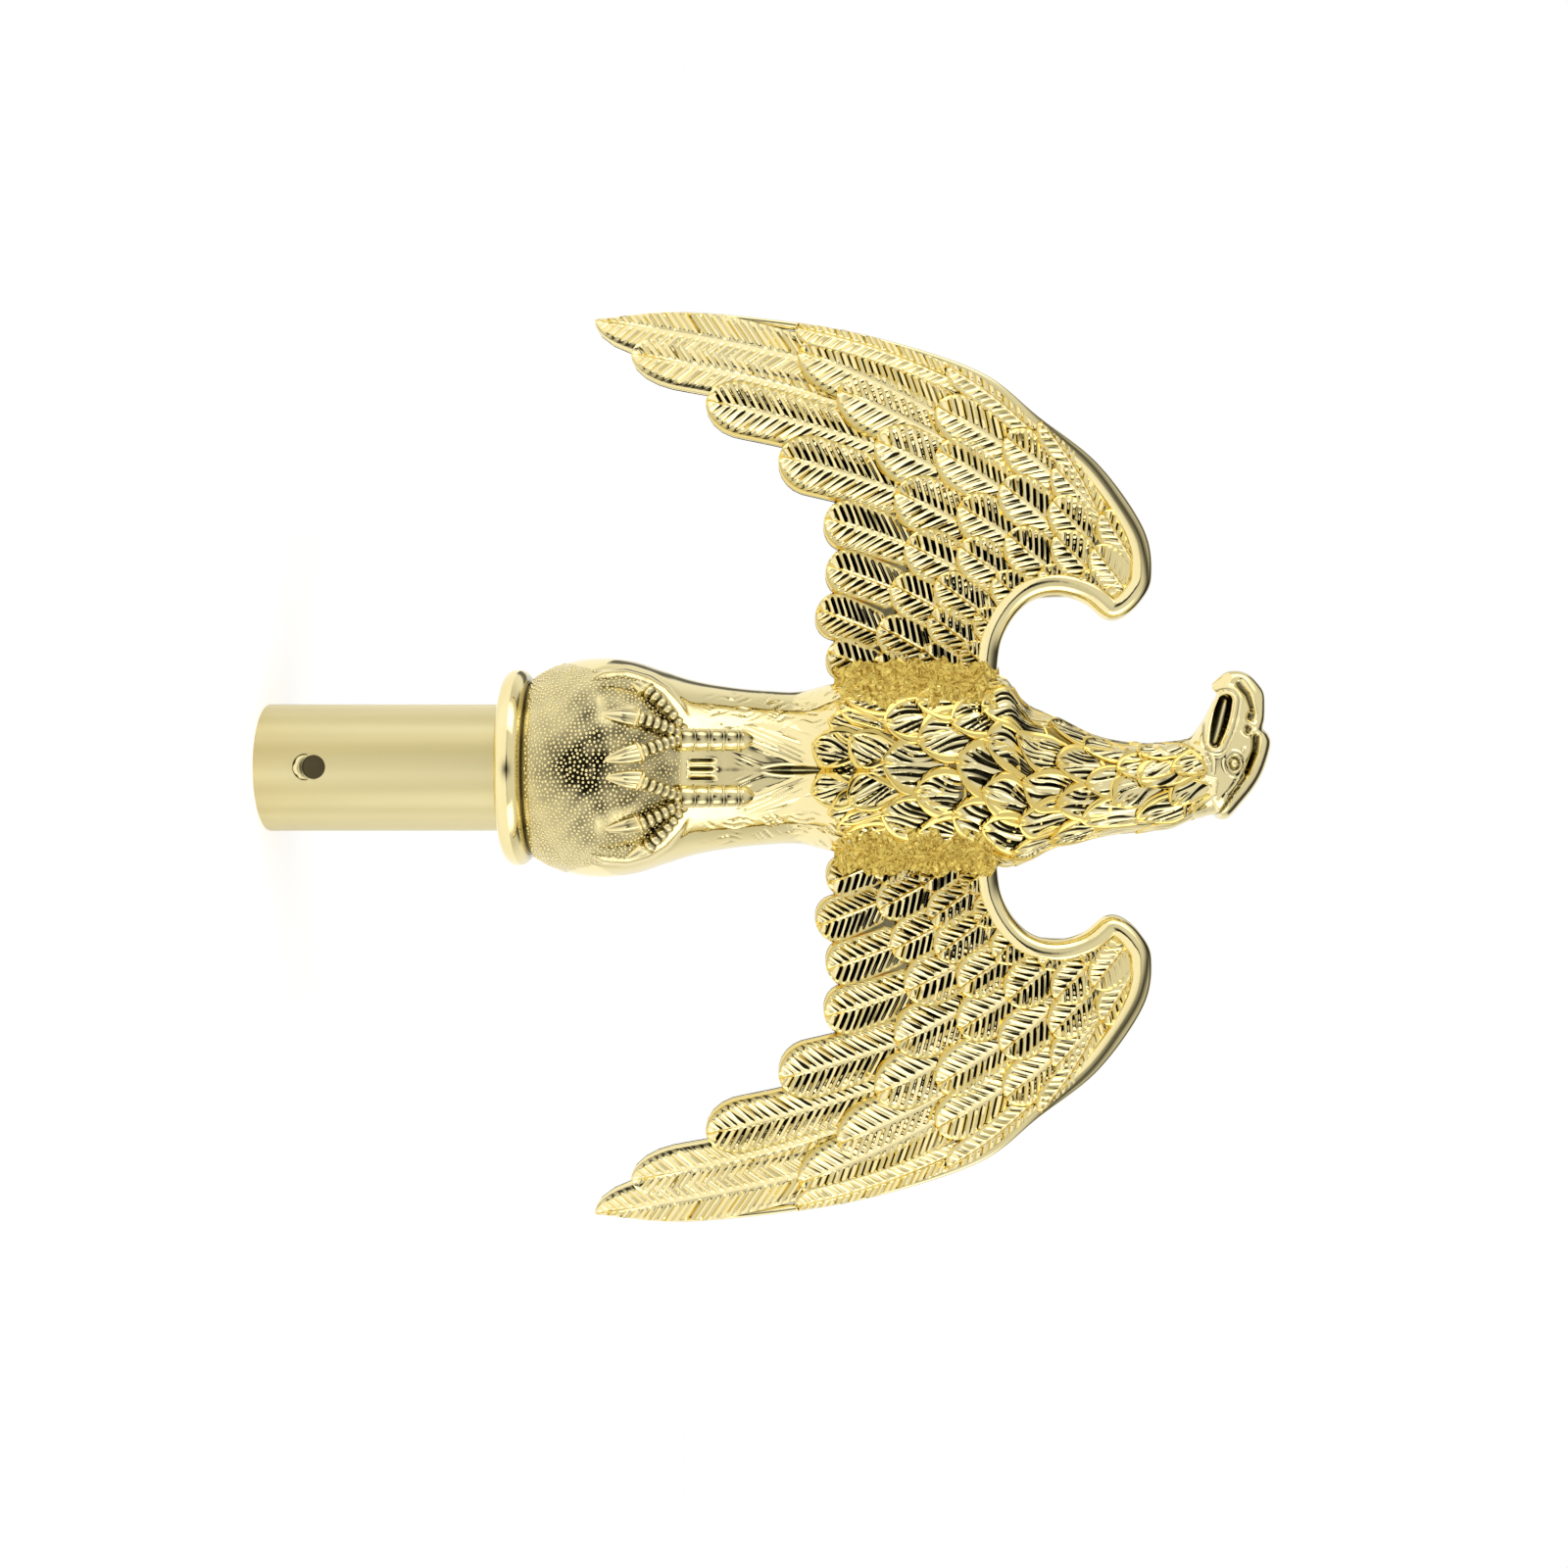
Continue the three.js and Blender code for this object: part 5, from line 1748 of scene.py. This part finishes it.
def makeFloor():
    half = studio["floorSize"] / 2
    corners = [(-half, -half, 0), (half, -half, 0), (half, half, 0), (-half, half, 0)]
    floor = bpy.data.objects.new("floor", meshFrom("floor", corners, [(0, 1, 2, 3)]))
    bpy.context.scene.collection.objects.link(floor)
    material, _, shader = newMaterial("paleFloor", (0.9, 0.9, 0.9), 0.0, 0.9, specular=0.1)
    shader.inputs["Emission Color"].default_value = (1, 1, 1, 1)
    shader.inputs["Emission Strength"].default_value = studio["floorGlow"]
    floor.data.materials.append(material)


def makeWorld():
    world = bpy.data.worlds.new("studio")
    bpy.context.scene.world = world
    world.use_nodes = True
    tree = world.node_tree
    tree.nodes.clear()
    x, y, z = coordinateValues(tree, "Generated")
    sx, sy, sz = studio["spot"]
    spot = (x * sx + y * sy + z * sz).smooth(*studio["spotEdge"])
    level = (x * x + y * y).apply("SQRT")
    turned = (x / level).apply("ABSOLUTE")
    width, height = studio["lampWidth"], studio["lampHeight"]
    lamp = 1.0 - (turned - studio["lampTurn"]).apply("ABSOLUTE").smooth(width * 0.5, width * 1.5)
    lamp = lamp * (1.0 - z.apply("ABSOLUTE").smooth(height * 0.8, height * 1.25))
    lamp = lamp * (1.0 - y.smooth(-0.25, -0.05))
    # dark strips above the eagle and a little behind it, and far behind its right side
    above = z.smooth(0.5, 0.72) * y.smooth(0.05, 0.2) * (1.0 - y.smooth(0.5, 0.66))
    beside = (x * -1.0).smooth(0.12, 0.3) * y.smooth(0.72, 0.8) * (1.0 - y.smooth(0.88, 0.95))
    room = studio["ground"] + (studio["behind"] - studio["ground"]) * y.smooth(0.1, 0.7)
    room = room + (studio["lamp"] - studio["ground"]) * lamp
    room = room + studio["overhead"] * z.smooth(0.1, 0.3) * (1.0 - y.smooth(-0.3, 0.2))
    shade = spot.apply("MAXIMUM", above * 0.93).apply("MAXIMUM", beside * 0.85)
    bright = room + (studio["dark"] - room) * shade
    seen = nodeValue(tree, addNode(tree, "ShaderNodeLightPath").outputs["Is Camera Ray"])
    bright = bright + (1.0 - bright) * seen
    links = {"Color": (1, 1, 1, 1), "Strength": bright}
    background = addNode(tree, "ShaderNodeBackground", links)
    addNode(tree, "ShaderNodeOutputWorld", {"Surface": background.outputs[0]})


makeFloor()
makeWorld()
scene = bpy.context.scene
scene.view_settings.view_transform = "Standard"
scene.view_settings.look = "None"
